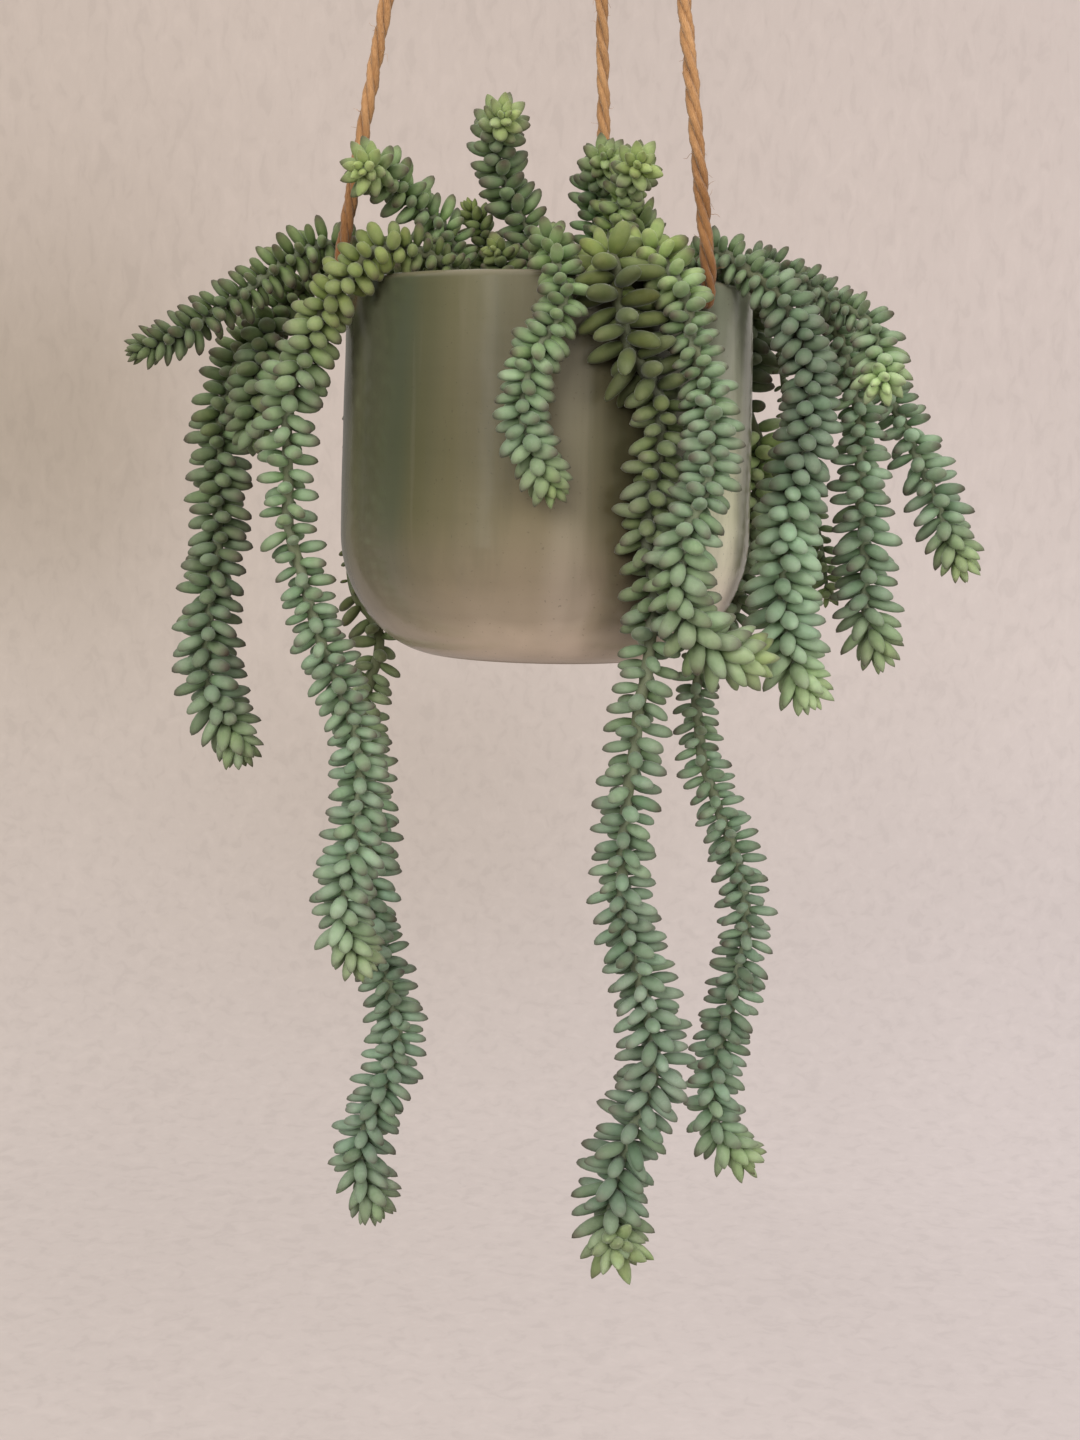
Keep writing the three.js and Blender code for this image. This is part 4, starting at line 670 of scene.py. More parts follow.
# ------------------------------------------------------------------ stems and leaves
# Each stem's middle line, root first: x, y, z in tenths of a millimetre and the reach of its leaves from that line.
STEMS = {
    "stem_left_arching": [(-380, -13, -3980, 28), (-416, -10, -3933, 32), (-452, -7, -3886, 36), (-490, -3, -3840, 40), (-534, 2, -3801, 44), (-585, 11, -3772, 48), (-639, 20, -3749, 52), (-693, 24, -3725, 56), (-747, 24, -3701, 60), (-800, 5, -3686, 66), (-849, -23, -3694, 73), (-899, -45, -3718, 79), (-946, -63, -3750, 85), (-991, -78, -3785, 89), (-1034, -96, -3822, 88), (-1078, -113, -3859, 86), (-1124, -128, -3893, 85), (-1173, -140, -3924, 83), (-1218, -154, -3961, 82), (-1259, -170, -4000, 80), (-1310, -181, -4029, 78), (-1362, -191, -4054, 74), (-1415, -203, -4078, 69), (-1468, -220, -4100, 64)],
    "stem_left_outer": [(-323, 105, -3980, 25), (-370, 120, -3946, 28), (-416, 135, -3912, 31), (-463, 150, -3879, 34), (-509, 166, -3844, 37), (-555, 182, -3809, 41), (-604, 197, -3780, 44), (-658, 212, -3762, 47), (-715, 228, -3750, 50), (-772, 242, -3743, 53), (-830, 255, -3741, 56), (-886, 257, -3759, 67), (-920, 242, -3801, 81), (-957, 228, -3845, 95), (-999, 217, -3887, 108), (-1039, 207, -3929, 113), (-1077, 195, -3973, 113), (-1112, 182, -4020, 114), (-1141, 170, -4070, 114), (-1166, 160, -4123, 115), (-1188, 155, -4178, 116), (-1206, 153, -4234, 116), (-1218, 150, -4293, 117), (-1223, 147, -4352, 118), (-1226, 144, -4411, 118), (-1226, 141, -4471, 119), (-1224, 139, -4530, 120), (-1222, 137, -4589, 120), (-1225, 133, -4648, 121), (-1229, 129, -4707, 122), (-1225, 126, -4766, 122), (-1229, 122, -4825, 123), (-1242, 117, -4883, 123), (-1252, 114, -4941, 124), (-1254, 110, -5001, 125), (-1255, 107, -5060, 125), (-1261, 105, -5119, 126), (-1265, 102, -5179, 127), (-1262, 99, -5238, 128), (-1253, 95, -5297, 127), (-1242, 92, -5355, 121), (-1215, 89, -5407, 114), (-1179, 86, -5455, 108), (-1153, 83, -5508, 101), (-1129, 80, -5562, 94)],
    "stem_left_inner": [(-201, -223, -3980, 39), (-230, -247, -3934, 45), (-258, -272, -3888, 51), (-292, -303, -3851, 57), (-327, -338, -3818, 63), (-365, -373, -3789, 70), (-408, -408, -3767, 77), (-456, -439, -3751, 84), (-510, -463, -3748, 89), (-564, -487, -3745, 95), (-615, -501, -3772, 99), (-657, -493, -3812, 102), (-694, -476, -3855, 103), (-732, -460, -3898, 103), (-768, -446, -3943, 103), (-793, -432, -3995, 103), (-815, -419, -4049, 104), (-839, -406, -4102, 104), (-863, -394, -4155, 104), (-886, -383, -4209, 104), (-904, -372, -4265, 105), (-911, -361, -4322, 105), (-911, -352, -4381, 104), (-909, -346, -4441, 104), (-907, -344, -4500, 103), (-906, -342, -4560, 102), (-907, -339, -4619, 102), (-906, -337, -4678, 101), (-896, -335, -4737, 101), (-879, -333, -4794, 100), (-861, -331, -4851, 99), (-845, -329, -4908, 100), (-830, -328, -4966, 102), (-815, -326, -5023, 105), (-797, -325, -5080, 107), (-775, -323, -5136, 109), (-751, -322, -5190, 110), (-727, -321, -5245, 110), (-704, -319, -5300, 110), (-683, -318, -5355, 110), (-668, -317, -5413, 110), (-658, -315, -5471, 110), (-649, -314, -5530, 109), (-644, -313, -5590, 109), (-645, -312, -5649, 109), (-648, -312, -5709, 109), (-653, -311, -5768, 109), (-661, -310, -5827, 109), (-671, -309, -5886, 109), (-683, -307, -5944, 109), (-693, -306, -6003, 108), (-699, -305, -6062, 104), (-694, -304, -6121, 99), (-679, -302, -6179, 94), (-654, -301, -6233, 89), (-625, -300, -6285, 84)],
    "stem_left_back": [(-275, 200, -3980, 35), (-317, 231, -3951, 37), (-365, 250, -3921, 39), (-411, 275, -3891, 40), (-453, 305, -3862, 42), (-493, 336, -3828, 43), (-532, 365, -3794, 45), (-573, 398, -3766, 47), (-621, 434, -3766, 48), (-656, 466, -3802, 50), (-673, 497, -3850, 51), (-678, 525, -3903, 53), (-677, 547, -3959, 54), (-677, 559, -4017, 56), (-680, 561, -4077, 58), (-684, 561, -4137, 59), (-687, 561, -4196, 61), (-690, 560, -4256, 62), (-692, 560, -4316, 64), (-693, 558, -4376, 66), (-694, 557, -4436, 67), (-695, 555, -4495, 69), (-696, 552, -4555, 70), (-700, 547, -4615, 72), (-712, 536, -4672, 73), (-729, 519, -4727, 75), (-746, 501, -4781, 76), (-758, 485, -4837, 78), (-759, 473, -4896, 80), (-748, 463, -4953, 83), (-722, 452, -5005, 85), (-684, 440, -5050, 88), (-652, 427, -5097, 91), (-639, 415, -5153, 93), (-644, 405, -5212, 96), (-659, 398, -5269, 99), (-677, 391, -5326, 101), (-687, 383, -5384, 103), (-686, 374, -5443, 106), (-682, 365, -5502, 108), (-677, 358, -5561, 110), (-669, 350, -5620, 112), (-662, 343, -5679, 114), (-657, 336, -5738, 116), (-654, 328, -5797, 119), (-652, 321, -5857, 121), (-651, 314, -5916, 123), (-651, 306, -5976, 125), (-651, 299, -6035, 125), (-650, 291, -6094, 126), (-650, 284, -6154, 126), (-648, 277, -6213, 126), (-640, 269, -6272, 126), (-624, 260, -6329, 126), (-603, 250, -6384, 126), (-584, 237, -6439, 126), (-570, 223, -6495, 127), (-556, 216, -6553, 127), (-542, 213, -6611, 127), (-530, 207, -6669, 127), (-541, 201, -6728, 127), (-552, 195, -6787, 128), (-566, 188, -6844, 128), (-595, 182, -6896, 128), (-609, 175, -6954, 128), (-638, 170, -7006, 128), (-651, 165, -7064, 129), (-657, 161, -7123, 126), (-666, 156, -7182, 118), (-651, 150, -7240, 110), (-625, 145, -7293, 102), (-600, 140, -7348, 94)],
    "stem_front_centre": [(20, -379, -3980, 33), (24, -419, -3936, 39), (27, -461, -3895, 45), (26, -505, -3855, 52), (18, -548, -3816, 58), (7, -591, -3777, 64), (-4, -639, -3745, 70), (-6, -693, -3740, 76), (1, -744, -3767, 81), (12, -785, -3807, 86), (28, -819, -3852, 90), (42, -842, -3904, 91), (39, -857, -3960, 92), (18, -865, -4014, 92), (-14, -870, -4063, 92), (-45, -869, -4113, 93), (-63, -866, -4169, 93), (-76, -863, -4227, 94), (-85, -861, -4285, 94), (-79, -859, -4344, 92), (-59, -856, -4399, 89), (-34, -854, -4452, 87), (-6, -852, -4504, 84), (19, -850, -4558, 82)],
    "stem_front_right": [(190, -329, -3980, 37), (211, -364, -3936, 44), (231, -402, -3894, 50), (252, -442, -3854, 56), (272, -487, -3820, 63), (292, -535, -3790, 69), (311, -585, -3763, 75), (334, -638, -3747, 81), (354, -679, -3775, 89), (379, -713, -3818, 98), (408, -746, -3858, 106), (436, -767, -3906, 115), (451, -780, -3962, 120), (457, -792, -4021, 123), (470, -804, -4078, 125), (487, -816, -4134, 128), (506, -827, -4190, 131), (522, -836, -4247, 134), (530, -844, -4306, 136), (532, -852, -4365, 136), (533, -860, -4425, 135), (528, -868, -4484, 133), (515, -877, -4542, 132), (492, -886, -4596, 130), (469, -892, -4651, 129), (455, -889, -4709, 128), (445, -881, -4768, 127), (440, -871, -4827, 125), (446, -859, -4885, 124), (462, -841, -4939, 122), (488, -819, -4988, 119), (524, -797, -5030, 114), (570, -774, -5061, 109), (621, -750, -5083, 104), (674, -726, -5096, 99), (727, -700, -5108, 94)],
    "stem_front_long": [(105, -344, -3980, 33), (120, -390, -3945, 38), (135, -435, -3907, 44), (148, -482, -3874, 49), (159, -533, -3845, 55), (169, -586, -3818, 61), (179, -640, -3796, 66), (191, -698, -3784, 72), (207, -749, -3806, 76), (216, -760, -3863, 79), (216, -784, -3917, 83), (230, -796, -3974, 87), (246, -797, -4031, 90), (262, -794, -4089, 94), (297, -791, -4137, 96), (335, -788, -4183, 97), (361, -786, -4236, 98), (371, -783, -4295, 99), (371, -780, -4355, 100), (374, -777, -4414, 102), (364, -773, -4473, 103), (353, -768, -4531, 104), (345, -763, -4590, 105), (339, -759, -4650, 107), (338, -752, -4709, 108), (349, -743, -4767, 110), (362, -731, -4824, 112), (368, -720, -4882, 113), (368, -715, -4941, 115), (365, -715, -5001, 116), (361, -718, -5060, 118), (357, -720, -5120, 119), (349, -722, -5179, 120), (336, -724, -5237, 121), (328, -725, -5296, 121), (324, -727, -5356, 122), (320, -728, -5415, 122), (312, -729, -5475, 123), (304, -729, -5534, 123), (298, -729, -5593, 124), (295, -728, -5653, 124), (290, -728, -5712, 124), (289, -727, -5772, 125), (290, -727, -5832, 125), (289, -726, -5892, 126), (292, -724, -5951, 126), (303, -723, -6010, 127), (320, -722, -6067, 127), (336, -721, -6124, 128), (353, -719, -6182, 128), (371, -718, -6239, 128), (387, -716, -6296, 129), (399, -714, -6355, 129), (411, -712, -6413, 130), (420, -710, -6472, 130), (418, -708, -6531, 131), (405, -706, -6590, 131), (390, -703, -6647, 132), (367, -701, -6702, 132), (344, -699, -6757, 132), (325, -697, -6814, 133), (307, -695, -6871, 133), (295, -692, -6929, 133), (288, -690, -6989, 125), (284, -688, -7048, 117), (285, -687, -7108, 120), (296, -726, -7143, 134), (310, -783, -7138, 134)],
    "stem_right_back": [(300, 160, -3980, 38), (347, 184, -3951, 41), (392, 210, -3922, 43), (438, 236, -3893, 46), (484, 262, -3864, 49), (528, 286, -3831, 51), (571, 308, -3796, 54), (618, 333, -3768, 56), (670, 360, -3766, 59), (713, 384, -3799, 62), (744, 400, -3847, 64), (762, 410, -3903, 67), (756, 416, -3962, 69), (743, 418, -4020, 72), (745, 420, -4080, 74), (752, 420, -4140, 77), (759, 421, -4199, 80), (779, 421, -4256, 82), (805, 421, -4309, 84), (822, 421, -4366, 85), (823, 419, -4426, 85), (820, 417, -4485, 85), (818, 416, -4545, 85), (814, 415, -4605, 85), (808, 413, -4665, 86), (799, 412, -4724, 86), (790, 411, -4783, 86), (780, 409, -4843, 86), (770, 408, -4902, 86), (760, 406, -4961, 86), (743, 404, -5018, 86), (713, 403, -5069, 86), (680, 401, -5119, 86), (650, 398, -5171, 86), (624, 395, -5225, 88), (609, 390, -5283, 91), (604, 384, -5342, 94), (608, 377, -5401, 96), (619, 369, -5459, 99), (624, 360, -5518, 102), (630, 352, -5577, 105), (649, 343, -5633, 107), (669, 336, -5689, 110), (688, 327, -5745, 112), (709, 315, -5800, 113), (733, 307, -5855, 114), (757, 300, -5909, 114), (775, 296, -5966, 114), (790, 293, -6024, 114), (805, 289, -6082, 114), (815, 285, -6141, 115), (820, 281, -6201, 115), (822, 277, -6260, 115), (816, 271, -6320, 115), (802, 265, -6378, 116), (790, 260, -6436, 116), (779, 254, -6495, 116), (766, 249, -6553, 116), (748, 245, -6610, 117), (735, 240, -6669, 117), (727, 235, -6728, 117), (720, 230, -6787, 117), (712, 225, -6846, 117), (706, 221, -6906, 117), (709, 216, -6966, 112), (729, 211, -7022, 107), (760, 207, -7073, 101), (804, 203, -7114, 96), (853, 200, -7149, 90)],
    "stem_right_1": [(305, -191, -3980, 39), (342, -215, -3940, 46), (375, -249, -3904, 52), (409, -279, -3867, 58), (444, -305, -3827, 64), (481, -327, -3786, 71), (521, -348, -3748, 78), (569, -371, -3723, 85), (615, -391, -3743, 92), (660, -408, -3778, 99), (707, -417, -3812, 107), (755, -419, -3847, 115), (796, -421, -3890, 122), (827, -422, -3940, 128), (854, -418, -3992, 129), (879, -411, -4045, 130), (895, -404, -4102, 131), (902, -397, -4160, 131), (903, -391, -4219, 132), (904, -385, -4278, 133), (904, -380, -4337, 134), (898, -375, -4395, 134), (887, -371, -4453, 135), (873, -367, -4511, 136), (860, -363, -4568, 137), (850, -360, -4626, 137), (846, -358, -4685, 138), (844, -355, -4745, 139), (843, -353, -4804, 140), (843, -351, -4863, 140), (847, -349, -4922, 140), (857, -347, -4980, 137), (869, -346, -5038, 131), (875, -344, -5097, 125), (894, -343, -5153, 119), (921, -341, -5206, 113), (947, -340, -5259, 107)],
    "stem_right_2": [(360, -13, -3980, 30), (405, -16, -3941, 33), (449, -19, -3902, 37), (496, -19, -3866, 41), (546, -15, -3834, 45), (597, -9, -3803, 49), (650, -1, -3778, 53), (706, 8, -3760, 58), (763, 16, -3747, 62), (821, 24, -3740, 66), (873, 29, -3768, 75), (919, 33, -3805, 85), (971, 39, -3834, 95), (1015, 44, -3873, 105), (1043, 50, -3924, 113), (1065, 54, -3980, 115), (1085, 57, -4035, 115), (1104, 59, -4092, 116), (1122, 59, -4148, 117), (1140, 58, -4205, 117), (1151, 57, -4263, 118), (1155, 57, -4322, 119), (1159, 56, -4382, 119), (1163, 55, -4441, 120), (1164, 54, -4500, 121), (1166, 53, -4560, 121), (1175, 51, -4618, 122), (1183, 50, -4677, 123), (1186, 49, -4737, 123), (1194, 48, -4795, 124), (1195, 46, -4855, 123), (1196, 45, -4914, 118), (1201, 44, -4973, 113), (1216, 42, -5031, 108), (1239, 41, -5086, 102), (1261, 40, -5141, 97)],
    "stem_right_3": [(325, -99, -3980, 29), (362, -113, -3936, 33), (399, -127, -3891, 37), (439, -137, -3849, 42), (490, -142, -3819, 47), (548, -142, -3805, 52), (603, -140, -3784, 57), (654, -140, -3753, 61), (706, -147, -3730, 68), (762, -164, -3733, 79), (816, -178, -3754, 91), (867, -190, -3781, 100), (917, -203, -3811, 102), (966, -215, -3843, 102), (1013, -228, -3877, 101), (1064, -243, -3903, 100), (1113, -261, -3931, 100), (1143, -278, -3978, 99), (1156, -296, -4032, 98), (1164, -318, -4087, 100), (1161, -356, -4132, 100), (1147, -405, -4162, 100)],
    "stem_right_4": [(351, 81, -3980, 29), (393, 90, -3939, 32), (433, 98, -3897, 35), (478, 108, -3859, 38), (527, 122, -3830, 41), (581, 139, -3811, 44), (637, 157, -3805, 48), (693, 176, -3801, 51), (747, 194, -3788, 54), (801, 212, -3771, 57), (857, 229, -3758, 60), (914, 244, -3751, 64), (970, 250, -3767, 68), (1013, 246, -3807, 73), (1056, 246, -3848, 77), (1102, 248, -3885, 82), (1148, 250, -3922, 88), (1186, 252, -3967, 93), (1217, 253, -4017, 95), (1245, 255, -4070, 96), (1270, 257, -4123, 96), (1293, 258, -4177, 97), (1321, 255, -4229, 98), (1353, 245, -4278, 99), (1375, 235, -4332, 99), (1393, 223, -4387, 100), (1417, 212, -4440, 101), (1445, 201, -4491, 101), (1470, 190, -4544, 102), (1489, 181, -4599, 102), (1507, 172, -4654, 103), (1528, 162, -4709, 101), (1553, 151, -4762, 90), (1569, 140, -4818, 79)],
    "stem_right_small": [(427, 172, -3980, 14), (463, 188, -3935, 16), (493, 201, -3885, 18), (530, 216, -3839, 19), (580, 230, -3811, 21), (638, 243, -3804, 24), (695, 253, -3814, 25), (750, 263, -3837, 27), (799, 272, -3869, 29), (839, 280, -3913, 30), (865, 285, -3966, 31), (878, 288, -4025, 32), (886, 290, -4084, 32), (895, 293, -4144, 33), (908, 296, -4202, 33), (924, 299, -4260, 34), (942, 303, -4318, 34), (959, 307, -4375, 35), (977, 310, -4433, 35), (994, 311, -4490, 36), (1010, 311, -4548, 37), (1026, 308, -4606, 37), (1041, 303, -4664, 38), (1055, 295, -4722, 38), (1066, 282, -4780, 38), (1073, 263, -4836, 37), (1079, 238, -4891, 35), (1081, 200, -4937, 34)],
    "shoot_left": [(-300, -120, -3980, 35), (-310, -131, -3921, 44), (-319, -143, -3861, 52), (-329, -154, -3802, 60), (-339, -165, -3743, 69), (-351, -178, -3684, 77), (-380, -198, -3635, 83), (-427, -226, -3608, 87), (-474, -248, -3575, 92), (-508, -289, -3545, 92), (-541, -331, -3516, 92), (-575, -373, -3486, 92), (-604, -425, -3481, 92), (-626, -481, -3484, 92), (-638, -540, -3493, 92)],
    "shoot_centre": [(-60, -60, -3980, 37), (-64, -67, -3922, 45), (-68, -73, -3864, 54), (-71, -80, -3805, 62), (-75, -87, -3747, 71), (-80, -94, -3689, 79), (-88, -101, -3631, 87), (-113, -110, -3581, 95), (-143, -121, -3533, 100), (-165, -133, -3480, 100), (-187, -144, -3427, 100), (-202, -163, -3375, 100), (-206, -198, -3330, 100), (-195, -248, -3301, 100), (-184, -303, -3286, 100), (-173, -360, -3275, 100)],
    "shoot_right": [(200, 80, -3980, 36), (198, 77, -3922, 45), (197, 74, -3863, 53), (195, 71, -3805, 61), (193, 67, -3747, 70), (200, 53, -3691, 78), (210, 35, -3636, 86), (220, 15, -3582, 93), (233, -14, -3533, 93), (249, -46, -3487, 93), (269, -83, -3447, 93), (283, -137, -3430, 93), (295, -192, -3417, 93), (302, -250, -3411, 93)],
    "shoot_right_twin": [(200, 140, -3980, 28), (196, 150, -3921, 34), (191, 159, -3862, 40), (186, 169, -3802, 46), (182, 179, -3743, 51), (174, 176, -3684, 63), (166, 173, -3624, 75), (159, 167, -3565, 85), (155, 150, -3508, 85), (156, 121, -3457, 85), (164, 80, -3414, 85), (177, 27, -3390, 85), (186, -30, -3376, 85), (191, -90, -3371, 85)],
    "shoot_small_left": [(-220, 100, -3980, 21), (-224, 80, -3924, 25), (-228, 60, -3868, 30), (-231, 40, -3811, 34), (-235, 19, -3755, 38), (-239, -1, -3699, 43), (-246, -21, -3643, 47), (-273, -39, -3593, 56), (-303, -60, -3546, 65)],
    "shoot_small_front": [(-160, -380, -3980, 15), (-162, -384, -3921, 20), (-163, -387, -3863, 25), (-165, -392, -3804, 29), (-174, -409, -3749, 34), (-203, -460, -3747, 51)],
    "stem_back_1": [(336, 314, -3980, 60), (351, 327, -3923, 68), (376, 345, -3871, 76), (410, 373, -3830, 84), (447, 405, -3796, 92), (486, 441, -3767, 99), (527, 479, -3746, 107), (569, 520, -3743, 115), (605, 558, -3768, 120), (628, 583, -3816, 120), (641, 598, -3873, 120), (650, 609, -3932, 120), (657, 618, -3991, 120), (660, 624, -4051, 120), (658, 627, -4111, 120), (655, 629, -4171, 120), (651, 629, -4231, 120), (647, 628, -4291, 120), (642, 627, -4351, 120), (637, 626, -4411, 120), (632, 624, -4471, 120), (627, 623, -4531, 120), (622, 621, -4592, 120), (617, 620, -4652, 120), (611, 619, -4712, 120), (604, 622, -4771, 118), (596, 626, -4831, 110), (589, 629, -4891, 102), (582, 634, -4950, 94), (574, 638, -5010, 86)],
    "stem_back_2": [(180, 288, -3980, 58), (206, 329, -3945, 66), (226, 374, -3912, 75), (246, 420, -3880, 83), (267, 465, -3848, 91), (289, 509, -3815, 100), (314, 551, -3780, 109), (342, 594, -3751, 114), (374, 640, -3743, 115), (405, 681, -3767, 115), (427, 709, -3814, 115), (442, 727, -3868, 115), (454, 740, -3924, 115), (463, 748, -3982, 115), (468, 748, -4041, 115), (469, 740, -4100, 115), (469, 731, -4159, 115), (471, 725, -4218, 115), (474, 722, -4277, 115), (477, 719, -4336, 115), (481, 716, -4395, 115), (485, 715, -4455, 115), (490, 714, -4514, 114), (495, 713, -4573, 108), (500, 712, -4632, 99), (506, 711, -4691, 91), (513, 706, -4750, 83)],
    "stem_back_3": [(18, 340, -3980, 62), (20, 388, -3944, 71), (25, 438, -3911, 78), (29, 489, -3878, 86), (33, 539, -3845, 93), (36, 589, -3811, 101), (39, 639, -3777, 108), (42, 691, -3748, 116), (44, 749, -3735, 122), (45, 804, -3752, 125), (45, 845, -3796, 125), (44, 870, -3850, 125), (44, 887, -3908, 125), (43, 900, -3967, 125), (42, 909, -4027, 125), (40, 913, -4087, 125), (37, 914, -4147, 125), (35, 914, -4208, 125), (32, 912, -4268, 125), (30, 910, -4328, 125), (28, 907, -4389, 125), (25, 904, -4449, 125), (21, 900, -4509, 125), (17, 895, -4569, 125), (13, 890, -4629, 125), (9, 885, -4689, 125), (5, 880, -4749, 125), (1, 875, -4810, 121), (-3, 871, -4870, 113), (-7, 866, -4930, 105), (-11, 862, -4990, 98), (-15, 858, -5050, 90)],
    "stem_back_4": [(-59, 335, -3980, 55), (-67, 382, -3945, 65), (-77, 430, -3910, 75), (-87, 478, -3875, 85), (-96, 525, -3841, 95), (-104, 572, -3804, 105), (-112, 618, -3768, 109), (-121, 669, -3739, 110), (-130, 726, -3734, 110), (-136, 775, -3761, 110), (-141, 810, -3808, 110), (-144, 834, -3862, 110), (-146, 853, -3919, 110), (-147, 869, -3977, 110), (-146, 879, -4035, 110), (-142, 882, -4095, 110), (-137, 881, -4154, 110), (-132, 878, -4214, 110), (-127, 873, -4273, 110), (-122, 867, -4332, 107), (-117, 863, -4391, 98), (-112, 861, -4451, 89), (-105, 859, -4510, 79)],
    "stem_back_5": [(-138, 311, -3980, 62), (-158, 354, -3945, 71), (-178, 399, -3912, 78), (-199, 444, -3879, 85), (-219, 489, -3847, 92), (-239, 534, -3814, 99), (-260, 579, -3781, 107), (-280, 626, -3751, 114), (-302, 677, -3732, 121), (-324, 731, -3741, 125), (-339, 772, -3781, 125), (-348, 798, -3833, 125), (-354, 816, -3889, 125), (-358, 828, -3947, 125), (-358, 836, -4006, 125), (-355, 835, -4065, 125), (-350, 829, -4124, 125), (-345, 825, -4183, 125), (-340, 821, -4242, 125), (-336, 818, -4301, 125), (-332, 815, -4360, 125), (-328, 813, -4419, 125), (-324, 811, -4478, 125), (-321, 809, -4537, 125), (-317, 808, -4596, 125), (-314, 807, -4655, 125), (-311, 807, -4715, 125), (-308, 807, -4774, 124), (-306, 807, -4833, 120), (-303, 808, -4892, 112), (-301, 810, -4952, 105), (-298, 811, -5011, 97), (-296, 813, -5070, 90)],
    "stem_back_6": [(-214, 264, -3980, 60), (-244, 302, -3945, 69), (-276, 340, -3911, 77), (-307, 379, -3877, 85), (-338, 418, -3843, 94), (-369, 456, -3809, 102), (-400, 495, -3775, 110), (-434, 536, -3749, 117), (-472, 580, -3739, 120), (-509, 621, -3753, 120), (-534, 644, -3802, 120), (-549, 658, -3858, 120), (-562, 670, -3915, 120), (-572, 679, -3974, 120), (-579, 680, -4033, 120), (-580, 674, -4093, 120), (-580, 666, -4152, 120), (-584, 663, -4212, 120), (-589, 660, -4272, 120), (-594, 659, -4332, 120), (-598, 656, -4392, 120), (-603, 653, -4451, 120), (-607, 650, -4511, 120), (-611, 647, -4571, 120), (-614, 643, -4631, 119), (-617, 639, -4691, 111), (-620, 635, -4750, 103), (-622, 630, -4810, 95), (-624, 624, -4870, 86)],
    "shoot_back_left": [(-360, 300, -3980, 22), (-369, 304, -3921, 28), (-377, 310, -3861, 33), (-386, 315, -3802, 38), (-394, 319, -3742, 44), (-399, 323, -3683, 49), (-382, 332, -3626, 59), (-367, 340, -3568, 68)],
    "shoot_back_right": [(360, 420, -3980, 26), (357, 428, -3922, 32), (354, 433, -3864, 37), (351, 438, -3806, 43), (348, 445, -3748, 49), (344, 451, -3690, 54), (344, 451, -3633, 60), (345, 441, -3575, 67), (337, 430, -3519, 74), (320, 420, -3464, 80)],
    "shoot_side_right": [(500, 10, -3980, 21), (497, 25, -3925, 27), (494, 41, -3871, 32), (491, 56, -3816, 37), (488, 70, -3761, 43), (489, 78, -3706, 48), (513, 40, -3671, 62)],
    "stem_left_outer_side": [(-1028, 170, -3918, 98), (-1039, 131, -3962, 98), (-1049, 92, -4006, 98), (-1057, 61, -4056, 98), (-1063, 32, -4108, 98), (-1069, 7, -4161, 98), (-1073, -8, -4219, 98), (-1077, -21, -4277, 98), (-1076, -25, -4336, 98), (-1075, -30, -4396, 98)],
}
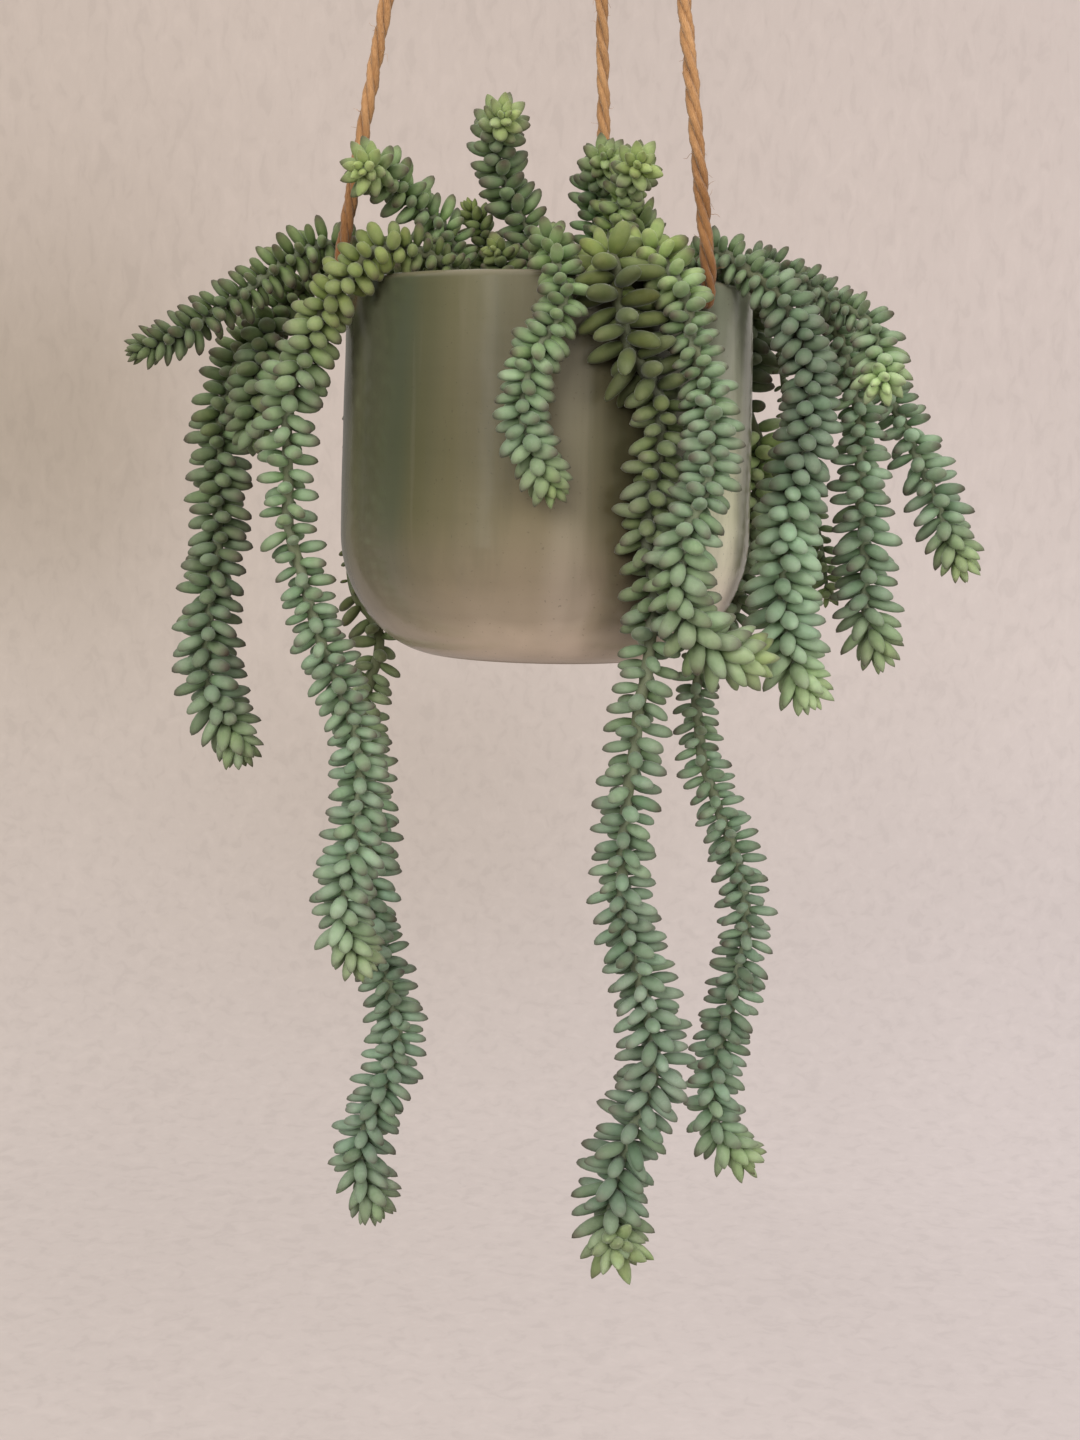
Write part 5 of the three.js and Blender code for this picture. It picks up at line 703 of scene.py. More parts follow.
# For each stem: (distance from the root in mm, mm of stem for one leaf, how yellow-green 0..1, how olive and shaded
# 0..1, leaf length factor, leaf width factor, painted light and shade: a brightness factor for that stretch)
HABIT = {
    "stem_left_arching": [(0.0, 1.00, 0.12, 0.62, 1.00, 1.12, 1.25), (41.0, 1.00, 0.08, 0.55, 1.00, 1.10, 1.28), (75.2, 1.00, 0.05, 0.50, 1.00, 1.06, 1.15), (95.8, 0.95, 0.02, 0.50, 1.00, 1.02, 0.86), (116.3, 0.92, 0.00, 0.45, 1.00, 1.00, 0.60), (136.8, 0.90, 0.05, 0.35, 1.00, 1.00, 0.58)],
    "stem_left_outer": [(0.0, 1.00, 0.06, 0.60, 1.00, 1.12, 1.28), (96.1, 1.00, 0.06, 0.56, 1.00, 1.12, 1.28), (125.7, 1.02, 0.05, 0.50, 1.05, 1.06, 1.28), (155.6, 1.05, 0.04, 0.48, 1.06, 1.05, 1.04), (185.6, 1.08, 0.02, 0.45, 1.08, 1.00, 1.00), (216.0, 1.05, 0.00, 0.30, 1.10, 1.00, 1.00), (261.8, 1.00, 0.08, 0.10, 1.25, 1.00, 1.00)],
    "stem_left_inner": [(0.0, 0.95, 0.15, 0.60, 0.80, 1.00, 1.00), (39.3, 0.95, 0.20, 0.65, 0.85, 1.10, 1.00), (52.4, 1.05, 0.85, 0.32, 1.00, 1.30, 1.00), (80.4, 1.05, 0.80, 0.28, 1.00, 1.25, 0.80), (97.7, 1.10, 0.36, 0.22, 1.15, 1.20, 0.88), (111.0, 1.25, 0.16, 0.15, 1.22, 1.14, 1.02), (128.9, 1.55, 0.12, 0.12, 1.16, 1.08, 1.24), (174.8, 1.55, 0.05, 0.10, 1.10, 1.00, 1.08), (196.7, 1.10, 0.02, 0.10, 1.05, 1.00, 1.15), (249.5, 1.05, 0.02, 0.05, 1.05, 1.00, 1.14), (282.5, 1.00, 0.05, 0.00, 1.22, 1.00, 1.22), (327.7, 1.00, 0.34, 0.00, 1.35, 1.00, 1.30)],
    "stem_left_back": [(0.0, 1.25, 0.05, 0.50, 1.35, 1.00, 1.00), (125.3, 1.25, 0.05, 0.50, 1.10, 1.00, 1.00), (145.4, 1.70, 0.05, 0.80, 0.75, 1.00, 1.00), (172.3, 2.60, 0.05, 0.95, 0.38, 1.00, 1.00), (178.7, 2.20, 0.20, 0.90, 1.25, 1.00, 1.10), (217.2, 1.80, 0.18, 0.60, 1.10, 1.00, 1.60), (233.0, 1.15, 0.08, 0.30, 1.00, 1.00, 1.50), (291.7, 1.05, 0.02, 0.12, 1.00, 1.00, 1.45), (311.3, 0.92, 0.02, 0.08, 1.00, 0.90, 1.45), (347.5, 0.88, 0.02, 0.03, 1.00, 0.86, 1.55), (389.0, 0.88, 0.00, 0.00, 1.05, 0.88, 1.30), (425.0, 0.90, 0.22, 0.00, 1.30, 0.92, 1.20)],
    "stem_front_centre": [(0.0, 0.95, 0.12, 0.35, 0.80, 1.00, 1.10), (71.5, 0.90, 0.03, 0.20, 0.92, 1.00, 1.12), (91.6, 0.90, 0.00, 0.12, 0.98, 1.02, 1.22), (112.9, 0.90, 0.00, 0.08, 1.05, 1.02, 0.98), (135.9, 0.90, 0.15, 0.05, 1.20, 1.00, 1.05)],
    "stem_front_right": [(0.0, 1.10, 0.80, 0.10, 1.15, 1.05, 1.00), (46.7, 1.10, 0.55, 0.12, 1.08, 1.08, 1.30), (61.5, 1.00, 0.30, 0.12, 1.05, 1.08, 1.25), (74.8, 0.90, 0.10, 0.08, 0.80, 1.05, 0.96), (101.4, 0.86, 0.03, 0.03, 0.76, 1.02, 1.08), (134.6, 0.88, 0.05, 0.03, 0.86, 1.00, 1.00), (165.3, 0.95, 0.22, 0.00, 1.08, 1.00, 0.96), (210.3, 1.00, 0.50, 0.00, 1.30, 1.05, 1.02)],
    "stem_front_long": [(0.0, 1.50, 0.85, 0.15, 1.20, 1.05, 1.00), (43.1, 1.50, 0.80, 0.25, 1.20, 1.05, 0.95), (54.5, 1.45, 0.50, 0.85, 1.75, 1.10, 0.70), (87.7, 1.40, 0.50, 0.80, 1.65, 1.08, 0.70), (96.6, 1.25, 0.60, 0.45, 1.12, 1.12, 0.68), (129.7, 1.20, 0.55, 0.35, 1.12, 1.10, 0.72), (156.8, 1.30, 0.35, 0.28, 1.12, 1.05, 0.82), (173.7, 1.60, 0.12, 0.25, 1.02, 1.00, 1.00), (225.0, 1.50, 0.05, 0.12, 0.98, 1.00, 1.00), (249.1, 1.06, 0.05, 0.04, 0.90, 0.93, 1.02), (277.0, 0.94, 0.04, 0.02, 1.00, 0.89, 1.06), (369.7, 0.92, 0.02, 0.00, 1.12, 0.89, 1.04), (400.4, 1.00, 0.34, 0.00, 1.35, 1.00, 1.22)],
    "stem_right_back": [(0.0, 1.20, 0.10, 0.85, 1.00, 1.00, 1.00), (63.3, 1.00, 0.00, 0.70, 1.25, 1.10, 1.00), (71.8, 0.85, 0.00, 0.55, 1.75, 1.10, 1.00), (84.1, 0.85, 0.00, 0.55, 1.75, 1.10, 1.00), (90.3, 1.30, 0.00, 0.60, 1.20, 1.10, 1.00), (94.1, 5.00, 0.20, 0.70, 1.20, 1.10, 1.00), (105.1, 5.00, 0.20, 0.70, 1.20, 1.10, 1.00), (109.6, 1.20, 0.60, 0.35, 1.60, 1.20, 1.90), (138.3, 1.20, 0.55, 0.40, 1.45, 1.10, 1.70), (150.0, 1.30, 0.20, 0.50, 1.20, 1.10, 1.20), (173.8, 1.20, 0.05, 0.50, 1.10, 1.00, 1.00), (209.0, 1.40, 0.00, 0.25, 1.08, 1.00, 1.20), (240.5, 1.35, 0.00, 0.10, 1.05, 1.00, 1.55), (285.9, 0.97, 0.00, 0.03, 1.00, 0.92, 1.24), (337.8, 0.95, 0.00, 0.03, 1.10, 0.91, 1.32), (370.2, 1.00, 0.00, 0.03, 1.10, 0.95, 1.65), (408.0, 1.00, 0.22, 0.00, 1.38, 1.02, 1.85)],
    "stem_right_1": [(0.0, 0.95, 0.00, 0.40, 0.88, 1.12, 1.05), (65.3, 0.92, 0.00, 0.20, 0.85, 1.15, 0.98), (81.5, 0.90, 0.00, 0.06, 0.84, 1.18, 0.56), (127.0, 0.90, 0.00, 0.04, 0.90, 1.20, 0.78), (144.9, 0.92, 0.00, 0.05, 0.98, 1.14, 1.25), (162.5, 0.94, 0.00, 0.05, 1.05, 1.08, 1.50), (187.4, 0.95, 0.00, 0.05, 1.10, 1.06, 1.42), (213.2, 0.98, 0.18, 0.00, 1.18, 1.02, 1.45)],
    "stem_right_2": [(0.0, 0.92, 0.00, 0.40, 0.68, 1.15, 1.00), (72.8, 0.92, 0.00, 0.35, 0.70, 1.15, 1.00), (112.0, 1.00, 0.00, 0.15, 0.84, 1.12, 1.20), (134.1, 1.10, 0.00, 0.10, 0.95, 1.10, 1.35), (163.7, 1.15, 0.00, 0.06, 1.12, 1.05, 1.22), (186.0, 1.12, 0.03, 0.03, 1.20, 1.00, 1.05), (208.1, 1.10, 0.25, 0.00, 1.30, 1.00, 1.00)],
    "stem_right_3": [(0.0, 0.92, 0.00, 0.40, 0.70, 1.15, 0.92), (68.7, 0.92, 0.00, 0.30, 0.76, 1.15, 0.80), (99.9, 1.00, 0.10, 0.15, 1.00, 1.00, 1.02), (124.8, 0.85, 0.30, 0.00, 1.50, 1.00, 1.90)],
    "stem_right_4": [(0.0, 0.92, 0.00, 0.40, 0.68, 1.12, 1.00), (82.1, 0.92, 0.00, 0.34, 0.72, 1.12, 1.05), (121.1, 1.10, 0.00, 0.22, 1.00, 1.00, 1.15), (138.1, 1.30, 0.00, 0.10, 1.20, 1.00, 1.45), (167.1, 1.25, 0.00, 0.05, 1.25, 1.00, 1.02), (195.4, 1.15, 0.20, 0.00, 1.35, 1.00, 1.05)],
    "stem_right_small": [(0.0, 2.40, 0.10, 0.75, 1.30, 1.00, 1.00), (97.5, 2.00, 0.20, 0.70, 1.70, 1.00, 1.00), (138.1, 1.60, 0.30, 0.40, 2.20, 1.00, 1.20), (162.4, 1.10, 0.60, 0.15, 2.80, 1.10, 1.60)],
    "shoot_left": [(0.0, 1.05, 0.05, 0.35, 1.00, 1.00, 1.00), (38.5, 1.00, 0.05, 0.05, 1.00, 1.00, 1.35), (85.6, 0.85, 0.30, 0.00, 1.25, 1.00, 1.24)],
    "shoot_centre": [(0.0, 1.10, 0.00, 0.35, 1.05, 1.00, 0.85), (44.0, 1.05, 0.00, 0.15, 1.10, 1.00, 0.98), (88.1, 0.85, 0.30, 0.00, 1.20, 1.00, 1.38)],
    "shoot_right": [(0.0, 1.10, 0.50, 0.20, 0.85, 1.00, 1.40), (45.6, 1.00, 0.45, 0.05, 0.95, 1.00, 1.55), (76.0, 0.80, 0.45, 0.00, 1.20, 1.00, 1.38)],
    "shoot_right_twin": [(0.0, 1.15, 0.00, 0.15, 0.85, 1.00, 1.50), (39.1, 1.05, 0.00, 0.00, 0.95, 1.00, 1.60), (78.2, 0.80, 0.20, 0.00, 1.20, 1.00, 1.38)],
    "shoot_small_left": [(0.0, 1.10, 0.35, 0.60, 1.40, 1.00, 1.00), (47.9, 0.90, 0.45, 0.30, 1.30, 1.00, 1.00)],
    "shoot_small_front": [(0.0, 1.00, 0.25, 0.60, 1.70, 1.10, 1.00), (29.4, 0.90, 0.30, 0.50, 1.60, 1.10, 1.00)],
    "stem_back_1": [(0.0, 1.10, 0.05, 0.45, 1.00, 1.00, 1.00), (174.8, 1.00, 0.10, 0.20, 1.10, 1.00, 1.00)],
    "stem_back_2": [(0.0, 1.10, 0.05, 0.45, 1.00, 1.00, 1.00), (154.4, 1.00, 0.10, 0.20, 1.10, 1.00, 1.00)],
    "stem_back_3": [(0.0, 1.10, 0.05, 0.45, 1.00, 1.00, 1.00), (187.3, 1.00, 0.10, 0.20, 1.10, 1.00, 1.00)],
    "stem_back_4": [(0.0, 1.10, 0.05, 0.45, 1.00, 1.00, 1.00), (131.3, 1.00, 0.10, 0.20, 1.10, 1.00, 1.00)],
    "stem_back_5": [(0.0, 1.10, 0.05, 0.45, 1.00, 1.00, 1.00), (189.7, 1.00, 0.10, 0.20, 1.10, 1.00, 1.00)],
    "stem_back_6": [(0.0, 1.10, 0.05, 0.45, 1.00, 1.00, 1.00), (168.1, 1.00, 0.10, 0.20, 1.10, 1.00, 1.00)],
    "shoot_back_left": [(0.0, 1.10, 0.05, 0.45, 1.00, 1.00, 1.00), (42.1, 1.00, 0.10, 0.20, 1.10, 1.00, 1.00)],
    "shoot_back_right": [(0.0, 1.10, 0.05, 0.45, 1.00, 1.00, 1.00), (52.5, 1.00, 0.10, 0.20, 1.10, 1.00, 1.00)],
    "shoot_side_right": [(0.0, 1.10, 0.05, 0.45, 1.00, 1.00, 1.00), (34.1, 1.00, 0.10, 0.20, 1.10, 1.00, 1.00)],
    "stem_left_outer_side": [(0.0, 1.10, 0.04, 0.58, 1.15, 1.12, 1.15), (53.7, 1.05, 0.00, 0.50, 1.20, 1.12, 1.10)],
}
# length of the young rosette at the tip in mm, how yellow-green it is, width of a leaf over its length, how far its youngest leaves close up in degrees
HEAD = {
    "default": (24, 0.5, 0.49, 66),
    "stem_left_arching": (22, 0.3, 0.46, 52),
    "stem_left_outer": (26, 0.4, 0.49, 64),
    "stem_left_outer_side": (10, 0, 0.52, 60),
    "stem_left_inner": (26, 0.5, 0.48, 60),
    "stem_left_back": (24, 0.35, 0.49, 56),
    "stem_front_centre": (20, 0.4, 0.53, 60),
    "stem_front_right": (28, 0.66, 0.5, 62),
    "stem_front_long": (24, 0.7, 0.48, 50),
    "stem_right_back": (24, 0.5, 0.46, 58),
    "stem_right_1": (27, 0.45, 0.47, 62),
    "stem_right_2": (25, 0.5, 0.46, 62),
    "stem_right_3": (22, 0.5, 0.46, 48),
    "stem_right_4": (25, 0.55, 0.47, 64),
    "stem_right_small": (10, 0.6, 0.48, 60),
    "shoot_left": (20, 0.78, 0.46, 50),
    "shoot_centre": (22, 0.78, 0.5, 54),
    "shoot_right": (20, 0.78, 0.5, 52),
    "shoot_right_twin": (19, 0.55, 0.5, 52),
    "shoot_small_left": (15, 0.8, 0.52, 60),
    "shoot_small_front": (12, 0.7, 0.54, 60),
}
# branches, and the stem that each grows out of
BRANCH_OF = {"stem_left_outer_side": "stem_left_outer"}
SOIL_Z = RIM_Z - SOIL_DROP
outline_r, outline_z = outline[:, 0], outline[:, 1] + RIM_Z


def pot_distance(p):
    """Signed distance to the pot's wall in millimetres, positive in the open, and the way out of it."""
    rho = np.hypot(p[:, 0], p[:, 1])
    q = np.stack([rho, p[:, 2]], 1)
    a = np.stack([outline_r[:-1], outline_z[:-1]], 1)
    b = np.stack([outline_r[1:], outline_z[1:]], 1)
    ab = b - a
    t = np.clip(((q[:, None] - a) * ab).sum(-1) / np.maximum((ab**2).sum(-1), 1e-9), 0, 1)
    near = a + t[..., None] * ab
    diff = q[:, None] - near
    d2 = (diff**2).sum(-1)
    k = d2.argmin(1)
    rows = np.arange(len(q))
    dist = np.sqrt(d2[rows, k])
    way = diff[rows, k]
    # the outline runs up the outside and down the inside, so the solid lies on its left
    seg = ab[k]
    cross = seg[:, 0] * way[:, 1] - seg[:, 1] * way[:, 0]
    inside = cross > 0
    sign = np.where(inside, -1.0, 1.0)
    way = way / np.maximum(dist, 1e-9)[:, None] * sign[:, None]
    radial = np.stack([p[:, 0], p[:, 1]], 1) / np.maximum(rho, 1e-6)[:, None]
    return dist * sign, np.column_stack([radial * way[:, :1], way[:, 1]])


def interp_rows(s, table, column):
    t = np.asarray(table, float)
    return np.interp(s, t[:, 0], t[:, column])


GOLDEN = math.radians(137.508)
GLAUCOUS, DEEP, YOUNG, OLIVE = np.array((0.275, 0.390, 0.285)), np.array((0.165, 0.255, 0.165)), np.array((0.390, 0.450, 0.160)), np.array((0.115, 0.125, 0.042))
MATURE_TILT = 9.0
# stems with more brown at the leaf tips; the tip browning is partly the leaves' own colour and partly painted shade
BROWN = {"shoot_centre": 1.4, "shoot_left": 1.1, "shoot_right_twin": 1.4, "shoot_right": 1.2, "stem_left_outer": 1.15, "stem_left_arching": 1.1, "stem_right_1": 0.6, "stem_right_back": 1.15, "stem_right_4": 1.2, "stem_right_3": 1.2, "stem_right_2": 1.1, "stem_front_long": 0.8}
SLIGHT = {"stem_right_small", "shoot_small_front", "shoot_small_left", "shoot_back_left", "shoot_side_right"}
plants = {}
L = {k: [] for k in "base d T N length width thick stem s x tint tip young olive rnd bend head keep powder".split()}
for index, (name, rows) in enumerate(STEMS.items()):
    rng = np.random.default_rng(1000 + index)
    rows = np.asarray(rows, float) / 10.0
    line, total = even(catmull(rows[:, :3], 6), 1.5)
    s_rows = np.r_[0, np.cumsum(np.linalg.norm(np.diff(rows[:, :3], axis=0), axis=1))]
    s_rows *= total / s_rows[-1]
    s_line = np.linspace(0, total, len(line))
    reach = np.interp(s_line, s_rows, rows[:, 3])
    t, n, b = carried_frames(line)
    head_len, head_yellow, plump, close = HEAD.get(name, HEAD["default"])
    thin = 0.55 + 0.45 * np.clip((total - s_line) / 40, 0, 1)
    stem_r = (1.95 if total > 90 else 1.5) * thin * np.clip(reach.max() / 11, 0.6, 1.1)
    plants[name] = dict(line=line, t=t, n=n, b=b, s=s_line, total=total, r=stem_r, habit=HABIT[name])
    # a full-grown leaf reaches this far from the middle of the stem
    mature = np.full(len(s_line), reach.max())
    if total > 60:
        late = reach[s_line > total - 60].max()
        mature = np.where(s_line > total - 45, np.maximum(reach, late * 0.96), reach)
    if name not in SLIGHT:
        mature = np.maximum(mature, np.interp(s_line, [0, 14, 34], [4.5, 8.0, 10.2]))
    s, angle, count = 3.0, rng.uniform(0, 6.28), 0
    ss, aa = [], []
    while s < total - 1.2:
        ss.append(s)
        aa.append(angle)
        x = total - s
        gap = interp_rows(s, HABIT[name], 1) * (0.62 + 0.38 * min(1.0, x / head_len))
        s += gap * rng.uniform(0.8, 1.2)
        angle += GOLDEN
    ss, aa = np.array(ss), np.array(aa)
    m = len(ss)
    aa = aa + rng.normal(0, 0.10, m)
    x = total - ss
    h = np.clip(1 - x / head_len, 0, 1)
    # the leaves stand off the old stem and close up towards its growing end
    near_end = np.clip(1 - x / 70, 0, 1) * (1 - h)
    tilt = np.radians(MATURE_TILT + rng.normal(0, 6.0, m) * (1 - h) + 10.0 * near_end + (close - MATURE_TILT) * h**1.4 + (84 - close) * np.clip(1 - x / 5.5, 0, 1))
    P = np.stack([np.interp(ss, s_line, line[:, k]) for k in range(3)], 1)
    Tm = unit(np.stack([np.interp(ss, s_line, t[:, k]) for k in range(3)], 1))
    Nm = unit(np.stack([np.interp(ss, s_line, n[:, k]) for k in range(3)], 1))
    Nm = unit(Nm - Tm * (Nm * Tm).sum(1)[:, None])
    Bm = np.cross(Tm, Nm)
    out = np.cos(aa)[:, None] * Nm + np.sin(aa)[:, None] * Bm
    rs = np.interp(ss, s_line, stem_r)
    full = np.interp(ss, s_line, mature)
    fit = interp_rows(ss, HABIT[name], 4)
    length = (full - rs * 0.5) / math.cos(math.radians(MATURE_TILT)) * fit * rng.uniform(0.88, 1.08, m)
    length = np.clip(length, 3.2, 19.0) * (1 - 0.36 * h**4) * (1 - 0.30 * np.clip(1 - x / 5.5, 0, 1))
    wide = (np.minimum(length, 11.8) + 0.25 * np.clip(length - 11.8, 0, None)) * plump * (1 - 0.10 * h) * rng.uniform(0.93, 1.07, m) * interp_rows(ss, HABIT[name], 5)
    d = np.cos(tilt)[:, None] * out + np.sin(tilt)[:, None] * Tm
    yellow = np.clip(interp_rows(ss, HABIT[name], 2) + rng.normal(0, 0.05, m), 0, 1)
    yellow = np.maximum(yellow, head_yellow * np.clip(1.25 * h + 0.05, 0, 1) ** 1.1)
    olive = np.clip(interp_rows(ss, HABIT[name], 3) + rng.normal(0, 0.08, m) * (interp_rows(ss, HABIT[name], 3) > 0.02), 0, 1)
    rnd = rng.uniform(0, 1, m)
    base_tint = GLAUCOUS + (DEEP - GLAUCOUS) * rng.uniform(0.0, 0.95, m)[:, None]
    tint = base_tint + (YOUNG - base_tint) * yellow[:, None]
    tint = tint + (OLIVE - tint) * olive[:, None]
    # painted light and shade: each stretch's brightness factor, lighter at the height of the pot and painted shade
    # deeper in the crown and low down
    tint *= rng.uniform(0.84, 1.14, m)[:, None] * (interp_rows(ss, HABIT[name], 6) * np.interp(P[:, 2], [-760, -640, -560, -400, -350], [0.72, 0.76, 1.0, 1.0, 0.80]))[:, None]
    # painted shade: less blue and less of the pale bloom on the crown and the left, which are the shaded side
    painted_shade_side = (1 - np.interp(P[:, 2], [-620, -520, -420, -375, -350, -325], [1.0, 0.93, 0.81, 0.62, 0.70, 0.86])) * np.interp(P[:, 0], [30, 85], [1.0, 0.35]) * (1 - 0.35 * yellow)
    tint[:, 2] *= 1 - painted_shade_side
    L["powder"].append(np.clip(1 - 1.9 * painted_shade_side, 0, 1) * (1 - 0.6 * olive))
    L["base"].append(P + out * (rs * 0.55)[:, None])
    for key, value in (("d", d), ("T", Tm), ("N", out), ("length", length), ("width", wide), ("thick", wide * 0.84), ("s", ss), ("x", x), ("tint", tint), ("young", yellow), ("olive", olive), ("rnd", rnd)):
        L[key].append(value)
    L["stem"].append(np.full(m, index))
    # painted shade: leaf tips darker on leaves that point in at the rest of the plant and less dark on leaves that face
    # the front
    facing = np.clip(-d[:, 1], 0, 1) ** 2
    inner = np.clip(-d[:, 0] * np.sign(P[:, 0]), 0, 1)  # the side that looks at the rest of the plant
    L["tip"].append(np.clip(rng.uniform(0.35, 1.0, m) * (1 - 0.75 * np.clip(yellow - 0.1, 0, 1)) * (1 - 0.60 * facing) * BROWN.get(name, 1.0) * np.interp(P[:, 2], [-430, -390], [1.0, 1.25]) + 0.25 * inner, 0, 1))
    L["tip"][-1] *= np.clip(1.5 - 1.5 * olive, 0.15, 1) if name == "stem_front_long" else 1.0
    L["bend"].append(rng.normal(0.03, 0.045, m))
    L["head"].append(np.clip(h * 1.4, 0, 1))
    L["keep"].append(np.ones(m, bool))
L = {k: (np.concatenate(v) if len(v) else v) for k, v in L.items()}
names = list(STEMS)

# leaves that would start under the soil or in the wall aren't there
sd, _ = pot_distance(L["base"])
in_pot = (L["base"][:, 2] > RIM_Z - POT_H) & (np.hypot(L["base"][:, 0], L["base"][:, 1]) < 69)
L["keep"] &= ~((L["base"][:, 2] < SOIL_Z + 0.6) & in_pot) & (sd > 0.3)

# what the leaves give way to: the ropes, and the middle lines of the other stems
still, still_r, still_stem = [], [], []
for side, path in rope_paths.items():
    p, _ = even(path[path[:, 2] < RIM_Z + 130], 2.5)
    still.append(p)
    still_r.append(np.full(len(p), 2.7))
    still_stem.append(np.full(len(p), -1))
for index, name in enumerate(names):
    p, _ = even(plants[name]["line"], 3.0)
    still.append(p)
    still_r.append(np.full(len(p), 1.7))
    still_stem.append(np.full(len(p), index))
still, still_r, still_stem = np.vstack(still), np.concatenate(still_r), np.concatenate(still_stem)
AT = np.array([0.42, 0.68, 0.90])
SIZE = np.array([0.41, 0.41, 0.26])


def spheres():
    c = L["base"][:, None] + L["d"][:, None] * (L["length"][:, None] * AT)[..., None]
    r = L["width"][:, None] * SIZE
    return c, r


limit = np.cos(np.radians(np.where(L["x"] < 22, 12.0, 22.0)))
d_first = L["d"].copy()
rounds = 9
for step in range(rounds):
    kept = np.flatnonzero(L["keep"])
    c, r = spheres()
    c, r = c[kept], r[kept]
    flat_c, flat_r = c.reshape(-1, 3), r.ravel()
    leaf = np.repeat(kept, 3)
    part = np.tile(np.arange(3), len(kept))
    every = np.vstack([flat_c, still])
    every_r = np.r_[flat_r, still_r]
    tree = KDTree(len(every))
    for i, p in enumerate(every):
        tree.insert(p, i)
    tree.balance()
    a_list, b_list = [], []
    widest = float(every_r.max())
    for i, p in enumerate(flat_c):
        for _, jj, dist in tree.find_range(p, flat_r[i] + widest):
            if jj > i and dist < flat_r[i] + every_r[jj]:
                a_list.append(i)
                b_list.append(jj)
    ai, bi = np.array(a_list), np.array(b_list)
    same = (bi < len(flat_c)) & (leaf[ai] == leaf[np.minimum(bi, len(flat_c) - 1)])
    own = (bi >= len(flat_c)) & (still_stem[np.maximum(bi - len(flat_c), 0)] == L["stem"][leaf[ai]])
    ok = ~(same | own)
    ai, bi = ai[ok], bi[ok]
    gap_v = every[ai] - every[bi]
    dist = np.linalg.norm(gap_v, axis=1)
    over = every_r[ai] + every_r[bi] - dist
    way = gap_v / np.maximum(dist, 1e-6)[:, None]
    push = np.zeros_like(flat_c)
    moving = bi < len(flat_c)
    share = np.where(moving, 0.5, 1.0)
    np.add.at(push, ai, way * (over * share)[:, None])
    np.add.at(push, bi[moving], -way[moving] * (over[moving] * 0.5)[:, None])
    sd, out_way = pot_distance(flat_c)
    deep = np.clip(flat_r + 0.25 - sd, 0, None)
    push += out_way * deep[:, None] * 1.2
    low_soil = (flat_c[:, 2] - flat_r < SOIL_Z) & (flat_c[:, 2] > SOIL_Z - 14) & (np.hypot(flat_c[:, 0], flat_c[:, 1]) < 68)
    push[low_soil, 2] += (SOIL_Z - flat_c[low_soil, 2] + flat_r[low_soil]) * 0.8
    arm = (L["length"][leaf] * AT[part])[:, None]
    turn_by = np.zeros((len(L["s"]), 3))
    np.add.at(turn_by, leaf, push / arm * np.array([0.5, 0.6, 0.6])[part][:, None])
    size = np.linalg.norm(turn_by, axis=1)
    turn_by *= np.minimum(1, 0.25 / np.maximum(size, 1e-9))[:, None]
    d = unit(L["d"] + turn_by)
    # no further than limit from where it grew, unless the pot is in the way
    cosine = (d * d_first).sum(1)
    bad = cosine < limit
    if bad.any():
        side = unit(d[bad] - d_first[bad] * cosine[bad][:, None])
        cl = limit[bad]
        d[bad] = d_first[bad] * cl[:, None] + side * np.sqrt(1 - cl**2)[:, None]
    L["d"] = d
    if step >= rounds - 3:
        # leaves still pressed into the wall, the soil or a rope are shorter, or didn't grow
        c, r = spheres()
        sd, _ = pot_distance(c.reshape(-1, 3))
        worst = (r.ravel() - sd).reshape(-1, 3).max(1)
        press = worst > 0.7
        L["length"][press] *= 0.86
        L["width"][press] *= 0.93
        L["thick"][press] *= 0.93
        if step == rounds - 1:
            c, r = spheres()
            sd, _ = pot_distance(c.reshape(-1, 3))
            worst = (r.ravel() - sd).reshape(-1, 3).max(1)
            L["keep"] &= worst < 1.3
            rope_tree = KDTree(int((still_stem < 0).sum()))
            for i, p in enumerate(still[still_stem < 0]):
                rope_tree.insert(p, i)
            rope_tree.balance()
            for i in np.flatnonzero(L["keep"]):
                for k in range(3):
                    _, _, dist = rope_tree.find(c[i, k])
                    if dist < 2.5 + r[i, k] - 1.1:
                        L["keep"][i] = False
                        break

# one leaf: how thick it is along its length
RING_T = np.array([0.0, 0.11, 0.28, 0.48, 0.68, 0.84, 0.945])
RING_W = np.array([0.40, 0.68, 0.93, 1.00, 0.94, 0.74, 0.43])
RING_HEAD = np.array([0.38, 0.64, 0.92, 1.00, 0.86, 0.57, 0.26])  # younger leaves run to a sharper point
APEX = 1.0
SIDES = 12
phi = 2 * math.pi * np.arange(SIDES) / SIDES


